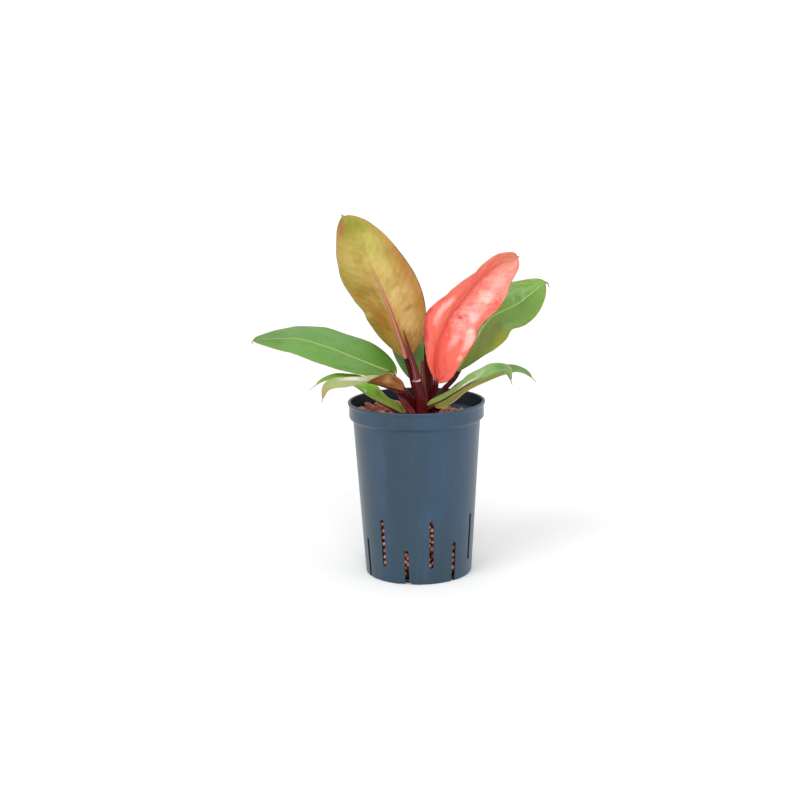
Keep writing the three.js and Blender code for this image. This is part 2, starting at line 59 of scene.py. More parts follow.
# Leaves in millimetres and degrees. The left half comes first, as seen from the base with the upper
# face up. rib is the midrib from petiole to tip, and face is where the upper face looks along it.
# width is each half's width, and skew, blunt and drip shape it from base to tip. fold is the angle at
# which each half leaves the midrib, and curl is how far it bends on. lobe reaches back at the base. A
# wave of the margin has a side, a height, a number and a shift. An edge makes a half wider round a
# place: side, place, size and share. keel is how fast the midrib thins. The petiole starts at root,
# passes bend, and petiole is its radius where it meets the blade.
LEAVES = {
    "leaf_amber_tall": dict(
        rib=((-10, -8, 241), (-28, -14, 297), (-43, -18, 334), (-59, -18, 370), (-76, -12, 396)),
        face=((0.25, 1, 0.3), (0.17, 1, -0.2), (-0.1, 1, -0.1)),
        width=(46, 46), skew=0.84, blunt=0.5, drip=0.015,
        fold=((38, 38, 34), (36, 32, 22)), curl=((5, 5), (5, 5)),
        wave=((-1, 2, 2.5, 0.1), (1, 3, 2.2, 0.05)),
        edge=((1, 0.58, 0.1, 0.05), (1, 0.34, 0.05, -0.08), (1, 0.12, 0.08, 0.12),
              (-1, 0.92, 0.06, 0.08)),
        root=(5, -10, 178), bend=(-3, -9, 212), petiole=2.6,
    ),
    "leaf_salmon": dict(
        rib=((22, -26, 221), (22, -26, 249), (34, -20, 282), (55, -8, 306), (84, 4, 333), (114, 12, 346)),
        face=((0.38, -0.9, 0), (0.38, -0.9, -0.1), (0.3, -0.9, 0.1)),
        width=(36, 38), skew=0.84, blunt=0.44, drip=0.015, lobe=(4, 6),
        fold=((60, 72, 52, 45), (33, 33, 33, 25)), curl=((0, -100, 0, 0), (0, 0)),
        wave=((1, 2, 2, 0.55),),
        edge=((1, 0.46, 0.12, -0.14), (1, 0.68, 0.1, 0.05), (-1, 0.66, 0.14, 0.2), (-1, 0.26, 0.08, 0.08),
              (-1, 0.35, 0.05, 0.13), (-1, 0.44, 0.03, -0.06)),
        root=(14, -14, 178), bend=(17, -15, 198), petiole=2.6,
    ),
    "leaf_green_right": dict(
        rib=((45, 14, 221), (64, 24, 249), (84, 34, 276), (116, 44, 291), (144, 48, 312), (150, 46, 308)),
        face=((-0.5, -0.55, 0.7), (0.35, -0.65, 0.65)),
        width=(43, 45), skew=0.8, blunt=0.58, drip=0.05,
        fold=((10, 6), (24, 20)), curl=((0, 0), (0, 0)), wave=((1, 3, 2.5, 0.2),),
        edge=((-1, 0.85, 0.14, -0.15), (1, 0.34, 0.06, 0.06), (1, 0.16, 0.06, -0.08)),
        root=(18, 0, 178), bend=(28, 5, 199), petiole=2.6,
    ),
    "leaf_green_left": dict(
        rib=((-33, 16, 223), (-67, 14, 238), (-94, 12, 250), (-126, 12, 260), (-143, 12, 261),
             (-174, 12, 260), (-179, 12, 255)),
        face=((0.1, -0.4, 1), (0.05, -0.4, 1), (0, -0.25, 1)),
        width=(35, 40), skew=0.8, blunt=0.52, drip=0.03, lobe=(10, 13),
        fold=((8, 0, -2, 0), (14, 3, -3, -1)), curl=((-5, -5), (-5, -5)),
        edge=((1, 0.12, 0.12, 0.14), (-1, 0.75, 0.12, 0.08), (1, 0.7, 0.2, 0.04)),
        root=(1, 0, 177), bend=(-11, 8, 198), petiole=2.6,
    ),
    "leaf_bronze_low_left": dict(
        rib=((-21, -36, 211), (-32, -40, 215), (-46, -44, 220), (-60, -47, 223), (-73, -49, 224),
             (-87, -50, 223), (-97, -50, 217), (-101, -50, 201)),
        face=((0, 0, 1), (0.1, -0.1, 1), (-0.2, -0.3, 1), (-1, -0.3, 0.6)),
        width=(18, 18), skew=0.66, blunt=0.5, drip=0.05, lobe=(8, 4),
        fold=((88, 62, 13, -4, -10, -10), (60, 30, 8, 0, 0, 0)), curl=((0, 0), (0, 0)),
        edge=((1, 0.5, 0.25, -0.4), (-1, 0.72, 0.12, -0.05)), keel=7,
        root=(2, -15, 176), bend=(-5, -24, 195), petiole=2.4,
    ),
    "leaf_narrow_left": dict(
        rib=((-15, -16, 181), (-44, -18, 197), (-64, -16, 211), (-77, -14, 217), (-88, -13, 220),
             (-102, -12, 217), (-116, -12, 208)),
        face=((0.2, -0.25, 1), (0, -0.25, 1)),
        width=(18, 18), skew=0.62, blunt=0.55, drip=0.08,
        fold=((25, 25, 12), (34, 28, 5)), curl=((0, 0), (0, 0)),
        edge=((1, 0.75, 0.14, -0.25), (1, 0.17, 0.14, -0.4), (-1, 0.13, 0.12, -0.15)),
        root=(4, -10, 158), bend=(-2, -13, 169), petiole=2.2,
    ),
    "leaf_low_right_front": dict(
        rib=((19, -26, 193), (28, -28, 197), (39, -31, 204), (54, -34, 214), (68, -36, 221),
             (84, -38, 228), (94, -40, 231), (98, -41, 227), (102, -41, 215)),
        face=((0, -0.32, 1), (0, -0.36, 1), (0.2, -0.4, 1), (1, -0.35, 0.6)),
        width=(17, 17), skew=0.7, blunt=0.5, drip=0.05, lobe=(9, 0),
        fold=((12, 9, 16), (-16, 0, 5, 5)), curl=((0, 0), (0, 0)),
        edge=((-1, 0.25, 0.15, -0.48), (-1, 0.7, 0.1, 0.22), (1, 0.78, 0.08, 0.12),
              (1, 0.44, 0.2, -0.36)),
        keel=2.5,
        root=(8, -14, 174), bend=(9, -19, 182), petiole=2.4,
    ),
    "leaf_low_right_back": dict(
        rib=((30, -4, 190), (53, 2, 205), (79, 6, 217), (103, 8, 223), (119, 8, 220), (132, 6, 209)),
        face=((0, -0.15, 1), (0, -0.23, 1)),
        width=(17, 15), skew=0.75, blunt=0.6, drip=0.06,
        fold=((5, 5), (5, 5)), curl=((0, 0), (0, 0)),
        edge=((1, 0.6, 0.25, 0.25),),
        root=(13, -6, 168), bend=(18, -6, 177), petiole=2.4,
    ),
    "leaf_green_back": dict(
        rib=((-2, 14, 211), (-4, 32, 234), (-10, 54, 261), (-18, 76, 287), (-29, 92, 304)),
        face=((0.3, -0.8, 0.5), (0.3, -0.8, 0.6)),
        width=(24, 27), skew=0.8, blunt=0.62, drip=0.05,
        fold=((18, 10), (18, 10)), curl=((0, 0), (0, 0)),
        edge=((-1, 0.16, 0.16, 0.16),),
        root=(7, 0, 178), bend=(2, 5, 191), petiole=2.4,
    ),
}

# Lower faces that leaves have in common.
GREEN_UNDER = dict(stops=((0, (150, 140, 66)), (1, (140, 166, 80))),
                   left=((150, 150, 70), 0.3), right=((150, 150, 70), 0.3), vein=(130, 150, 70))
LOW_UNDER = dict(stops=((0, (150, 120, 60)), (1, (150, 160, 86))),
                 left=((150, 140, 76), 0.3), right=((150, 140, 76), 0.3),
                 rib=(110, 50, 40), margin=(190, 120, 70), vein=(130, 140, 70),
                 patches=((0.3, 0.4, 0.2, 0.5, (150, 126, 66), 0.5),))

# How each leaf is coloured, on its upper face and beneath: colours from base to tip, a tint for each
# half with its strength, then the midrib, the margin and the veins. A patch is a soft spot of another
# colour: its middle and its half size in t and s, the colour and its strength. Some patches are painted
# highlights and painted shade, marked at each leaf; the rest are the leaf's own colour. rib_size and
# margin_size widen those lines, rib_fade says where the midrib's colour has gone and where it is
# whole, and quilt deepens the quilting. crumple is the height of the blade's uneven swelling, and slot
# is the record's material slot.
LEAF_LOOKS = {
    "leaf_amber_tall": dict(
        slot="leaf_amber", crumple=0.7,
        upper=dict(stops=((0, (150, 120, 60)), (0.5, (165, 150, 70)), (1, (140, 150, 60))),
                   left=((170, 110, 50), 0.3), right=((150, 140, 60), 0.2),
                   rib=(190, 150, 110), margin=(150, 70, 40), vein=(130, 120, 50),
                   patches=((0.3, 0.5, 0.2, 0.4, (176, 126, 56), 0.5),)),
        under=dict(stops=((0, (196, 146, 68)), (0.35, (204, 160, 76)), (0.7, (192, 166, 68)),
                          (1, (168, 160, 60))),
                   left=((198, 166, 78), 0.3), right=((200, 164, 76), 0.3),
                   rib=(206, 128, 112), margin=(132, 56, 40), vein=(170, 130, 56), rib_size=1.2,
                   rib_fade=(0.9, 0.3), margin_size=1.5,
                   patches=((0.76, -0.3, 0.2, 0.5, (200, 192, 88), 0.85),
                            (0.56, -0.2, 0.22, 0.36, (216, 194, 108), 0.8),
                            (0.32, -0.34, 0.24, 0.46, (228, 196, 124), 0.85),
                            (0.16, -0.5, 0.1, 0.4, (230, 200, 128), 0.7),
                            (0.92, -0.1, 0.1, 0.8, (148, 146, 28), 0.9),
                            (0.52, -0.95, 0.3, 0.34, (190, 132, 56), 0.9),
                            (0.66, -0.7, 0.05, 0.3, (152, 108, 54), 0.4),
                            (0.29, -0.5, 0.02, 0.3, (146, 106, 46), 0.5),
                            (0.45, -0.34, 0.02, 0.26, (160, 130, 60), 0.5),
                            (0.28, 0.5, 0.16, 0.5, (178, 118, 46), 0.85),
                            (0.47, 0.45, 0.07, 0.45, (166, 122, 48), 0.6),
                            (0.68, 0.6, 0.13, 0.4, (208, 188, 100), 0.65),
                            (0.31, 0.86, 0.03, 0.2, (214, 200, 110), 0.85),
                            (0.95, 0.7, 0.07, 0.45, (172, 108, 64), 0.8))),
    ),
    "leaf_salmon": dict(
        slot="leaf_salmon", crumple=1.5,
        upper=dict(stops=((0, (255, 104, 84)), (0.45, (255, 116, 96)), (0.8, (255, 140, 122)),
                          (1, (250, 156, 138))),
                   left=((255, 118, 98), 0.35), right=((255, 134, 120), 0.3),
                   rib=(250, 112, 92), margin=(196, 48, 52), vein=(244, 96, 80), quilt=1.5,
                   # Painted highlights: the pale pink and cream patches down to the one at (0.28, 0.42).
                   patches=((0.76, 0.45, 0.2, 0.4, (255, 188, 174), 0.8),
                            (0.52, 0.46, 0.2, 0.34, (255, 190, 180), 0.8),
                            (0.64, 0.42, 0.06, 0.25, (255, 222, 206), 0.8),
                            (0.49, 0.62, 0.05, 0.24, (255, 220, 212), 0.75),
                            (0.28, 0.42, 0.09, 0.16, (255, 190, 184), 0.75),
                            (0.3, 0.82, 0.13, 0.14, (255, 204, 194), 0.85),
                            (0.15, 0.86, 0.04, 0.12, (255, 212, 184), 0.7),
                            (0.62, 0.9, 0.16, 0.16, (250, 86, 68), 0.8),
                            (0.43, 0.3, 0.016, 0.16, (206, 40, 44), 0.85),
                            # A painted highlight where the left margin bends back, and painted shade on the
                            # margin turned away beyond it.
                            (0.4, -0.7, 0.1, 0.14, (255, 206, 200), 0.8),
                            (0.28, -1.0, 0.2, 0.14, (204, 40, 48), 0.95),
                            (0.12, -0.3, 0.16, 0.4, (236, 66, 60), 0.7),
                            (0.4, -0.35, 0.22, 0.35, (255, 142, 112), 0.6),
                            (0.36, 0.08, 0.14, 0.12, (238, 84, 74), 0.5),
                            (0.74, -0.95, 0.14, 0.14, (222, 194, 148), 0.8),
                            (0.9, -0.12, 0.07, 0.14, (214, 190, 118), 0.75),
                            (0.98, 0.0, 0.03, 0.7, (226, 190, 150), 0.6))),
        under=dict(stops=((0, (206, 60, 48)), (0.6, (222, 82, 62)), (1, (214, 110, 70))),
                   left=((190, 60, 50), 0.3), right=((214, 84, 60), 0.2),
                   rib=(230, 120, 100), margin=(200, 60, 50), vein=(190, 60, 50),
                   patches=((0.6, 0.4, 0.25, 0.4, (232, 112, 84), 0.5),
                            (0.3, -0.5, 0.2, 0.4, (186, 50, 44), 0.5))),
    ),
    "leaf_green_right": dict(
        slot="leaf_green", crumple=0.7,
        upper=dict(stops=((0, (150, 160, 44)), (0.3, (140, 164, 58)), (0.6, (118, 162, 66)),
                          (1, (130, 176, 70))),
                   left=((122, 168, 74), 0.35), right=((120, 158, 64), 0.3),
                   rib=(172, 200, 112), rib_size=1.5, margin=(184, 120, 60), vein=(90, 140, 50),
                   patches=((0.31, 0.85, 0.17, 0.5, (152, 160, 8), 0.9),
                            (0.34, 0.2, 0.14, 0.4, (144, 160, 76), 0.6),
                            (0.5, 0.8, 0.08, 0.35, (132, 176, 88), 0.6),
                            (0.72, -0.12, 0.03, 0.35, (78, 128, 40), 0.65),
                            (0.78, 0.1, 0.12, 0.25, (92, 144, 48), 0.4),
                            (0.87, -0.2, 0.09, 0.6, (126, 172, 48), 0.6))),
        under=dict(GREEN_UNDER, rib=(190, 170, 120), margin=(160, 100, 50),
                   patches=((0.4, 0.4, 0.2, 0.4, (160, 140, 70), 0.5),)),
    ),
    "leaf_green_left": dict(
        slot="leaf_green", crumple=0.5,
        upper=dict(stops=((0, (94, 146, 36)), (0.25, (108, 162, 62)), (0.7, (112, 166, 72)),
                          (1, (104, 152, 50))),
                   left=((118, 172, 84), 0.35), right=((106, 160, 60), 0.3),
                   rib=(172, 200, 112), rib_size=1.6, margin=(206, 160, 70), vein=(96, 150, 56),
                   patches=((0.1, 0.75, 0.14, 0.6, (92, 148, 30), 0.75),
                            (0.4, 0.55, 0.2, 0.4, (124, 176, 92), 0.5),
                            (0.24, -0.5, 0.16, 0.5, (116, 172, 84), 0.5),
                            (0.62, 0.3, 0.1, 0.3, (98, 150, 54), 0.4),
                            (0.84, 0.0, 0.14, 0.9, (90, 140, 36), 0.75),
                            (0.98, 0.0, 0.03, 1.0, (150, 70, 50), 0.7))),
        under=dict(GREEN_UNDER, rib=(190, 160, 110), margin=(190, 130, 50),
                   patches=((0.3, 0.4, 0.2, 0.5, (156, 134, 66), 0.5),)),
    ),
    "leaf_bronze_low_left": dict(
        slot="leaf_bronze", crumple=0.5,
        upper=dict(stops=((0, (150, 160, 90)), (0.3, (174, 192, 130)), (0.75, (172, 188, 110)),
                          (0.92, (196, 160, 70)), (1, (200, 50, 40))),
                   left=((178, 196, 138), 0.3), right=((186, 200, 150), 0.4),
                   rib=(200, 204, 150), margin=(216, 140, 100), vein=(146, 176, 100),
                   # A painted highlight along the far half.
                   patches=((0.5, 0.5, 0.2, 0.5, (250, 252, 238), 0.95),
                            (0.76, 0.2, 0.1, 0.5, (168, 184, 104), 0.6),
                            (0.3, 0.8, 0.12, 0.3, (206, 206, 160), 0.6))),
        under=dict(stops=((0, (160, 98, 46)), (0.45, (184, 126, 62)), (0.8, (180, 150, 80)),
                          (1, (190, 60, 40))),
                   left=((166, 104, 52), 0.3), right=((150, 100, 50), 0.3),
                   rib=(110, 44, 34), margin=(150, 90, 50), vein=(110, 64, 30),
                   # A painted sheen on the lobe beneath.
                   patches=((0.15, -0.5, 0.08, 0.35, (214, 178, 122), 0.85),
                            (0.08, -0.8, 0.06, 0.3, (156, 104, 50), 0.6),
                            (0.22, -0.15, 0.16, 0.2, (122, 70, 40), 0.7),
                            (0.36, -0.5, 0.1, 0.6, (120, 66, 38), 0.85))),
    ),
    "leaf_narrow_left": dict(
        slot="leaf_green", crumple=0.4,
        upper=dict(stops=((0, (190, 176, 74)), (0.15, (170, 196, 74)), (0.4, (146, 208, 62)),
                          (1, (124, 172, 70))),
                   left=((210, 226, 176), 0.75), right=((140, 204, 54), 0.35),
                   rib=(146, 196, 70), margin=(230, 206, 180), vein=(126, 182, 66),
                   # A painted highlight.
                   patches=((0.42, 0.1, 0.03, 0.12, (240, 250, 224), 0.8),
                            (0.3, 0.6, 0.1, 0.3, (112, 160, 44), 0.6),
                            (0.2, -0.6, 0.15, 0.4, (220, 226, 196), 0.7),
                            (0.75, 0.2, 0.12, 0.6, (130, 176, 70), 0.5))),
        under=dict(stops=((0, (176, 168, 110)), (0.3, (218, 224, 192)), (1, (196, 212, 156))),
                   left=((226, 232, 206), 0.3), right=((190, 200, 140), 0.3),
                   rib=(170, 150, 110), margin=(232, 214, 190), vein=(190, 202, 150),
                   patches=((0.5, -0.4, 0.3, 0.5, (228, 234, 210), 0.6),)),
    ),
    "leaf_low_right_front": dict(
        slot="leaf_green", crumple=0.5,
        upper=dict(stops=((0, (160, 184, 66)), (0.2, (142, 178, 84)), (0.75, (130, 180, 98)),
                          (0.93, (126, 164, 76)), (1, (150, 56, 34))),
                   left=((150, 188, 118), 0.35), right=((132, 130, 54), 0.95),
                   # The wide dark maroon midrib is the red midrib together with painted shade along the fold
                   # beside it.
                   rib=(84, 14, 22), margin=(226, 180, 144), vein=(106, 156, 76), rib_size=2.0,
                   rib_fade=(0.64, 0.42),
                   patches=((0.04, -0.7, 0.07, 0.5, (146, 168, 46), 0.8),
                            # A painted highlight on the fold above the midrib.
                            (0.4, -0.26, 0.16, 0.14, (246, 228, 214), 0.8),
                            (0.58, -0.6, 0.1, 0.4, (182, 208, 156), 0.7),
                            (0.78, -0.5, 0.08, 0.5, (92, 146, 70), 0.8),
                            (0.5, 0.95, 0.3, 0.25, (190, 146, 70), 0.8))),
        under=LOW_UNDER,
    ),
    "leaf_low_right_back": dict(
        slot="leaf_green", crumple=0.4,
        upper=dict(stops=((0, (110, 150, 60)), (0.8, (116, 166, 72)), (1, (120, 130, 60))),
                   left=((122, 172, 84), 0.3), right=((122, 172, 80), 0.3),
                   rib=(140, 176, 90), margin=(206, 140, 80), vein=(96, 146, 60),
                   patches=((0.85, 0.0, 0.1, 0.8, (126, 180, 90), 0.5),)),
        under=LOW_UNDER,
    ),
    "leaf_green_back": dict(
        slot="leaf_green", crumple=0.5,
        upper=dict(stops=((0, (104, 164, 66)), (0.6, (112, 172, 78)), (1, (116, 168, 70))),
                   left=((112, 168, 80), 0.3), right=((116, 172, 84), 0.3),
                   rib=(150, 186, 110), margin=(170, 190, 110), vein=(90, 146, 66),
                   patches=((0.3, 0.4, 0.2, 0.5, (126, 172, 96), 0.5),)),
        under=dict(GREEN_UNDER, rib=(180, 150, 110), margin=(170, 120, 50),
                   patches=((0.3, 0.4, 0.2, 0.5, (156, 134, 66), 0.5),)),
    ),
}

# Sheaths and the rolled new leaf: where each runs and its radius at each of those points. An open
# sheath is cut off flat, with a pale rim that is partly its own colour and partly a painted highlight.
# colours names its dark and its light colour in the settings.
SHEATHS = {
    "sheath_long": dict(
        path=((6, -20, 186), (1, -20, 220), (-6, -18, 247), (-13, -16, 272)), radii=(4.2, 4.0, 2.6, 0.4),
        open=False, colours=("sheath_colour", "sheath_light"),
    ),
    "sheath_front": dict(
        path=((6, -22, 178), (4, -24, 201), (0, -25, 219)), radii=(7.2, 5.8, 4.4),
        open=True, colours=("spear_colour", "light_colour"),
    ),
    "sheath_small": dict(
        path=((9, -19, 188), (8, -18, 212), (7, -16, 238)), radii=(3.4, 3.0, 1.9),
        open=False, colours=("sheath_colour", "sheath_light"),
    ),
    "sheath_pointed": dict(
        path=((-5, -23, 182), (-14, -29, 196), (-22, -33, 208)), radii=(4.4, 3.4, 0.4),
        open=False, colours=("sheath_colour", "sheath_light"),
    ),
}
SPEAR = dict(path=((12, -8, 182), (13, -7, 210), (12, -6, 243), (10, -6, 268)), radii=(8, 6.8, 3.9, 0.4))
ROOT_TIP = dict(path=((-52, -20, 177), (-53, -22, 186), (-51, -24, 195)), radii=(1.3, 1.2, 0.9))

# The spear winds its step upwards by a number of turns. The sheaths have ridges and are hollow by a
# share of their radius, down to a share of their length where they are open and where they are not.
SPEAR_TURNS = 1.1
SPEAR_STEP = 0.14
SHEATH_RIDGES = 11
SHEATH_HOLLOW = 0.82
OPEN_DEPTH = 0.3
CLOSED_DEPTH = 0.05

# The short stem, with blunt buds at its foot: where each bud runs and its radius at each point. A
# petiole is straight before it meets its blade, and thicker than there by its taper at the bend and
# at the start of the straight stretch.
STEM_CENTRE = (9, -6)
STEM_RIDGES = 7
STEM_RIDGE = 0.06
PETIOLE_STRAIGHT = 9
PETIOLE_TAPER = (0.9, 0.3)
BUDS = (
    dict(path=((16, -20, 172), (20, -24, 179), (21, -25, 184)), radii=(3.4, 3.2, 1.6)),
    dict(path=((32, -18, 168), (38, -22, 175), (41, -24, 180)), radii=(3.8, 3.6, 1.6)),
    dict(path=((-4, -30, 172), (-7, -34, 178), (-8, -36, 182)), radii=(3.2, 3.0, 1.4)),
)

# The pot's small forms in millimetres. Slots are low and high by turns, and each kind has a lower and
# an upper end. DRAINS lists the low slots that end in a drain.
FOOT_HEIGHT = 5
FOOT_INSET = 0.9
FOOT_ROUND = 2.0
COLLAR_STEP = 4
LIP_HEIGHT = 2.4
LIP_FOOT = 3.8
LOW_SLOT = (-3, 44.5)
DRAIN_SLOT = (-3, 39)
HIGH_SLOT = (18, 71)
DRAINS = (0, 4, 10)
DRAIN_WIDTH = 18.4
DRAIN_HEIGHT = 2.6
DRAIN_SLOPE = 2.0
DRAIN_START = 24.0
DRAIN_END = 90.0

# How the pebbles lie, in millimetres and radians. Sizes are shares of the middling radius, TOSS is how
# far one lies below or above its layer, and every other one is a LAYER lower. Behind each slot stand
# two columns, COLUMN_APART in turn, the second one COLUMN_LIFT higher. They start over the slot's lower
# end and run past its upper one, and the core of the filling stands between them.
GOLDEN_ANGLE = math.pi * (3 - math.sqrt(5))
PEBBLE_SIZES = (0.8, 1.25)
TOSS = (-2.6, 2.2)
LAYER = 4.6
TURN_TOSS = 0.3
STEM_ROOM = 9
LEAF_ROOM = 0.8
WALL_ROOM = 0.6
SLOT_WALL_ROOM = 0.8
COLUMN_STEP = 7.4
COLUMN_LIFT = 3.6
COLUMN_APART = 0.12
COLUMN_RADII = (3.2, 5.0)
COLUMN_BOTTOM = 9
COLUMN_START = 1
COLUMN_PAST = 3
COLUMN_TOSS = 1
COLUMN_TURN_TOSS = 0.03
PEBBLE_RINGS = 6
PEBBLE_SIDES = 10
CORE_BOTTOM = 5
CORE_TOP_ROOM = 4
CORE_WALL_ROOM = 5.5

# A leaf's lobes reach back over a share of its length, and its side veins lean and bend forwards. In
# millimetres, the midrib's groove and the stiff stretch beside it have a width, the margin's flutter
# has a height, and the flutter, the swelling and its smaller puckers have a wavelength. A half has at
# least a little width, and a flat one is an arc of next to no angle.
LOBE_REACH = 0.3
VEIN_LEAN = 0.10
VEIN_BEND = 0.07
GROOVE_WIDTH = 1.3
STIFF_WIDTH = 6
FLUTTER = 0.45
FLUTTER_WAVE = 26.0
SWELL_WAVE = 19.0
PUCKER_WAVE = 8.0
LEAST_HALF_WIDTH = 0.3
LEAST_CURL = 1e-4

# The midrib's rod: it is round over a share of its length at the base, then lies at a depth under the
# upper face, and ends at a share of its length with a radius.
RIB_ROUND = 0.1
RIB_DEPTH = 0.75
RIB_END = 0.97
RIB_END_RADIUS = 0.3

# Maps of distances are in decimetres, of which a metre has ten and a millimetre a hundredth.
PER_METRE = 10
PER_MM = 0.01

# The photograph's camera: place in metres, turn in degrees, focal length and sensor in millimetres.
CAMERA_PLACE = (-0.01786, -1.5787, 0.5089)
CAMERA_PITCH = 11.336
CAMERA_ROLL = -0.9995
CAMERA_LENS = 66.3
CAMERA_SENSOR = 36


def rgb(red, green, blue):
    """A display colour of 0 to 255 a channel as linear light."""
    value = np.array((red, green, blue)) / 255
    return tuple(np.where(value <= 0.04045, value / 12.92, ((value + 0.055) / 1.055) ** 2.4))


# Shapes

def unit(vectors):
    """Each vector divided by its own length."""
    return vectors / np.maximum(np.linalg.norm(vectors, axis=-1, keepdims=True), 1e-12)


def spline_at(points, t):
    """A smooth curve through the points: its position and direction at t from 0 to 1.

    A stretch from b to c, whose neighbours are a and d, runs at f from 0 to 1 as half of
    2b + (c - a) f + (2a - 5b + 4c - d) f^2 + (3b - a - 3c + d) f^3. The ends' neighbours are mirrored.
    """
    p = np.asarray(points, float)
    spans = len(p) - 1
    p = np.vstack([2 * p[0] - p[1], p, 2 * p[-1] - p[-2]])
    x = np.clip(t, 0, 1) * spans
    i = np.minimum(x.astype(int), spans - 1)
    f = (x - i)[..., None]
    a, b, c, d = p[i], p[i + 1], p[i + 2], p[i + 3]
    bend, twist = 2 * a - 5 * b + 4 * c - d, 3 * b - a - 3 * c + d
    place = 0.5 * (2 * b + (c - a) * f + bend * f**2 + twist * f**3)
    return place, unit(0.5 * ((c - a) + 2 * bend * f + 3 * twist * f**2))


def curve_at(points, t):
    """The same curve, with t as the share of its whole length."""
    even = np.linspace(0, 1, 401)
    place, _ = spline_at(points, even)
    run = np.concatenate([[0], np.cumsum(np.linalg.norm(np.diff(place, axis=0), axis=1))])
    return spline_at(points, np.interp(t, run / run[-1], even))


def along(values, t):
    """Values given at even steps from base to tip, joined by straight lines and read at t."""
    values = np.asarray(values, float)
    steps = np.linspace(0, 1, len(values))
    if values.ndim == 1:
        return np.interp(t, steps, values)
    return np.stack([np.interp(t, steps, column) for column in values.T], axis=-1)


def half_width(leaf, t):
    """Share of the full half width: sin(pi (t / (1 - drip))^skew)^blunt, run out in a narrow tip."""
    body = np.sin(np.pi * np.clip(t / (1 - leaf["drip"]), 0, 1) ** leaf["skew"]) ** leaf["blunt"]
    point = np.clip((1 - t) / leaf["drip"], 0, 1) ** 0.7 * np.clip((t - 0.5) / 0.4, 0, 1)
    return np.hypot(body, 0.03 * point)


def by_side(right, pair, t):
    """Reads the right half's list where right is true, and else the left half's."""
    return np.where(right, along(pair[1], t), along(pair[0], t))


def rib_frame(leaf, t):
    """The midrib at t: its point, its direction, where the upper face looks, and the way to the right."""
    centre, ahead = curve_at(leaf["rib"], t)
    look = along(unit(np.asarray(leaf["face"], float)), t)
    up = unit(look - (look * ahead).sum(-1, keepdims=True) * ahead)
    return centre, ahead, up, np.cross(ahead, up)


def leaf_surface(leaf, t, s):
    """Upper face of a leaf: t from base to tip, s from the left margin (-1) to the right margin (1).

    From the midrib each half leaves at its fold angle and bends on by its curl angle, as an arc of
    half width W: out = W (sin(f + c a) - sin f) / c and up = W (cos f - cos(f + c a)) / c, a = |s|.
    An edge multiplies W by 1 + share exp(-((t - place) / size)^2). A wave lifts the half by
    height a^2 sqrt(sin(pi t)) sin(2 pi (n t + shift)), and a lobe draws its base back. Returns the
    points, the face direction and the half width.
    """
    centre, ahead, up, side = rib_frame(leaf, t)
    right = s >= 0
    a = np.abs(s)
    half = np.where(right, leaf["width"][1], leaf["width"][0]) * half_width(leaf, t)
    half = np.maximum(half, LEAST_HALF_WIDTH)
    for edged, middle, size, share in leaf["edge"]:
        wider = 1 + share * np.exp(-(((t - middle) / size) ** 2))
        half = half * np.where(right == (edged > 0), wider, 1)
    fold = np.radians(by_side(right, leaf["fold"], t))
    curl = np.radians(by_side(right, leaf["curl"], t))
    curl = np.where(np.abs(curl) < LEAST_CURL, LEAST_CURL, curl)
    out = half * (np.sin(fold + curl * a) - np.sin(fold)) / curl
    rise = half * (np.cos(fold) - np.cos(fold + curl * a)) / curl
    for waved, height, count, shift in leaf.get("wave", ()):
        reach = height * a**2 * np.sqrt(np.sin(np.pi * np.clip(t, 0, 1)))
        rise = rise + np.where(right == (waved > 0), reach * np.sin(2 * np.pi * (count * t + shift)), 0)
    lobe = leaf.get("lobe", (0, 0))
    back = np.where(right, lobe[1], lobe[0]) * a * np.clip(1 - t / LOBE_REACH, 0, 1) ** 2
    out = np.where(right, out, -out)
    place = centre + side * out[..., None] + up * rise[..., None] - ahead * back[..., None]
    return place, up, half


def surface_normals(points):
    """Unit normals of a grid of points, from its differences along both directions."""
    return unit(np.cross(np.gradient(points, axis=0), np.gradient(points, axis=1)))


def vein_lines(t, s, count):
    """Ridges of the side veins: t - lean |s| - bend s^2 stays the same along one vein."""
    a = np.abs(s)
    return (0.5 + 0.5 * np.cos(2 * np.pi * count * (t - VEIN_LEAN * a - VEIN_BEND * a**2))) ** 6


def ripple(points, wavelength, seed):
    """Smooth pseudo-random waves over space: the mean of six sines in seeded directions."""
    draw = np.random.default_rng(seed)
    way = unit(draw.normal(size=(6, 3))) * (2 * np.pi / wavelength)
    return np.sin(points @ way.T + draw.uniform(0, 2 * np.pi, 6)).mean(axis=-1)


def rod_rings(path, radii, rows, sides, groove=0.0):
    """Rings round a spline: circles with their radius read from radii, with a groove along the top.

    A ring's first direction is at right angles to the path and to a guide, which turns from upwards to
    the front as the path gets steeper.
    """
    t = np.linspace(0, 1, rows)
    centre, ahead = curve_at(path, t)
    upwards, forwards = np.array([0.0, 0.0, 1.0]), np.array([0.0, -1.0, 0.0])
    steep = np.abs(ahead @ upwards)[:, None]
    across = unit(np.cross(ahead, upwards * (1 - steep) + forwards * steep))
    up = np.cross(across, ahead)
    angle = np.linspace(0, 2 * np.pi, sides, endpoint=False)
    radius = along(radii, t)[:, None] * (1 - groove * np.clip(np.sin(angle), 0, 1) ** 8)
    ring = across[:, None] * np.cos(angle)[None, :, None] + up[:, None] * np.sin(angle)[None, :, None]
    return centre[:, None] + ring * radius[..., None]


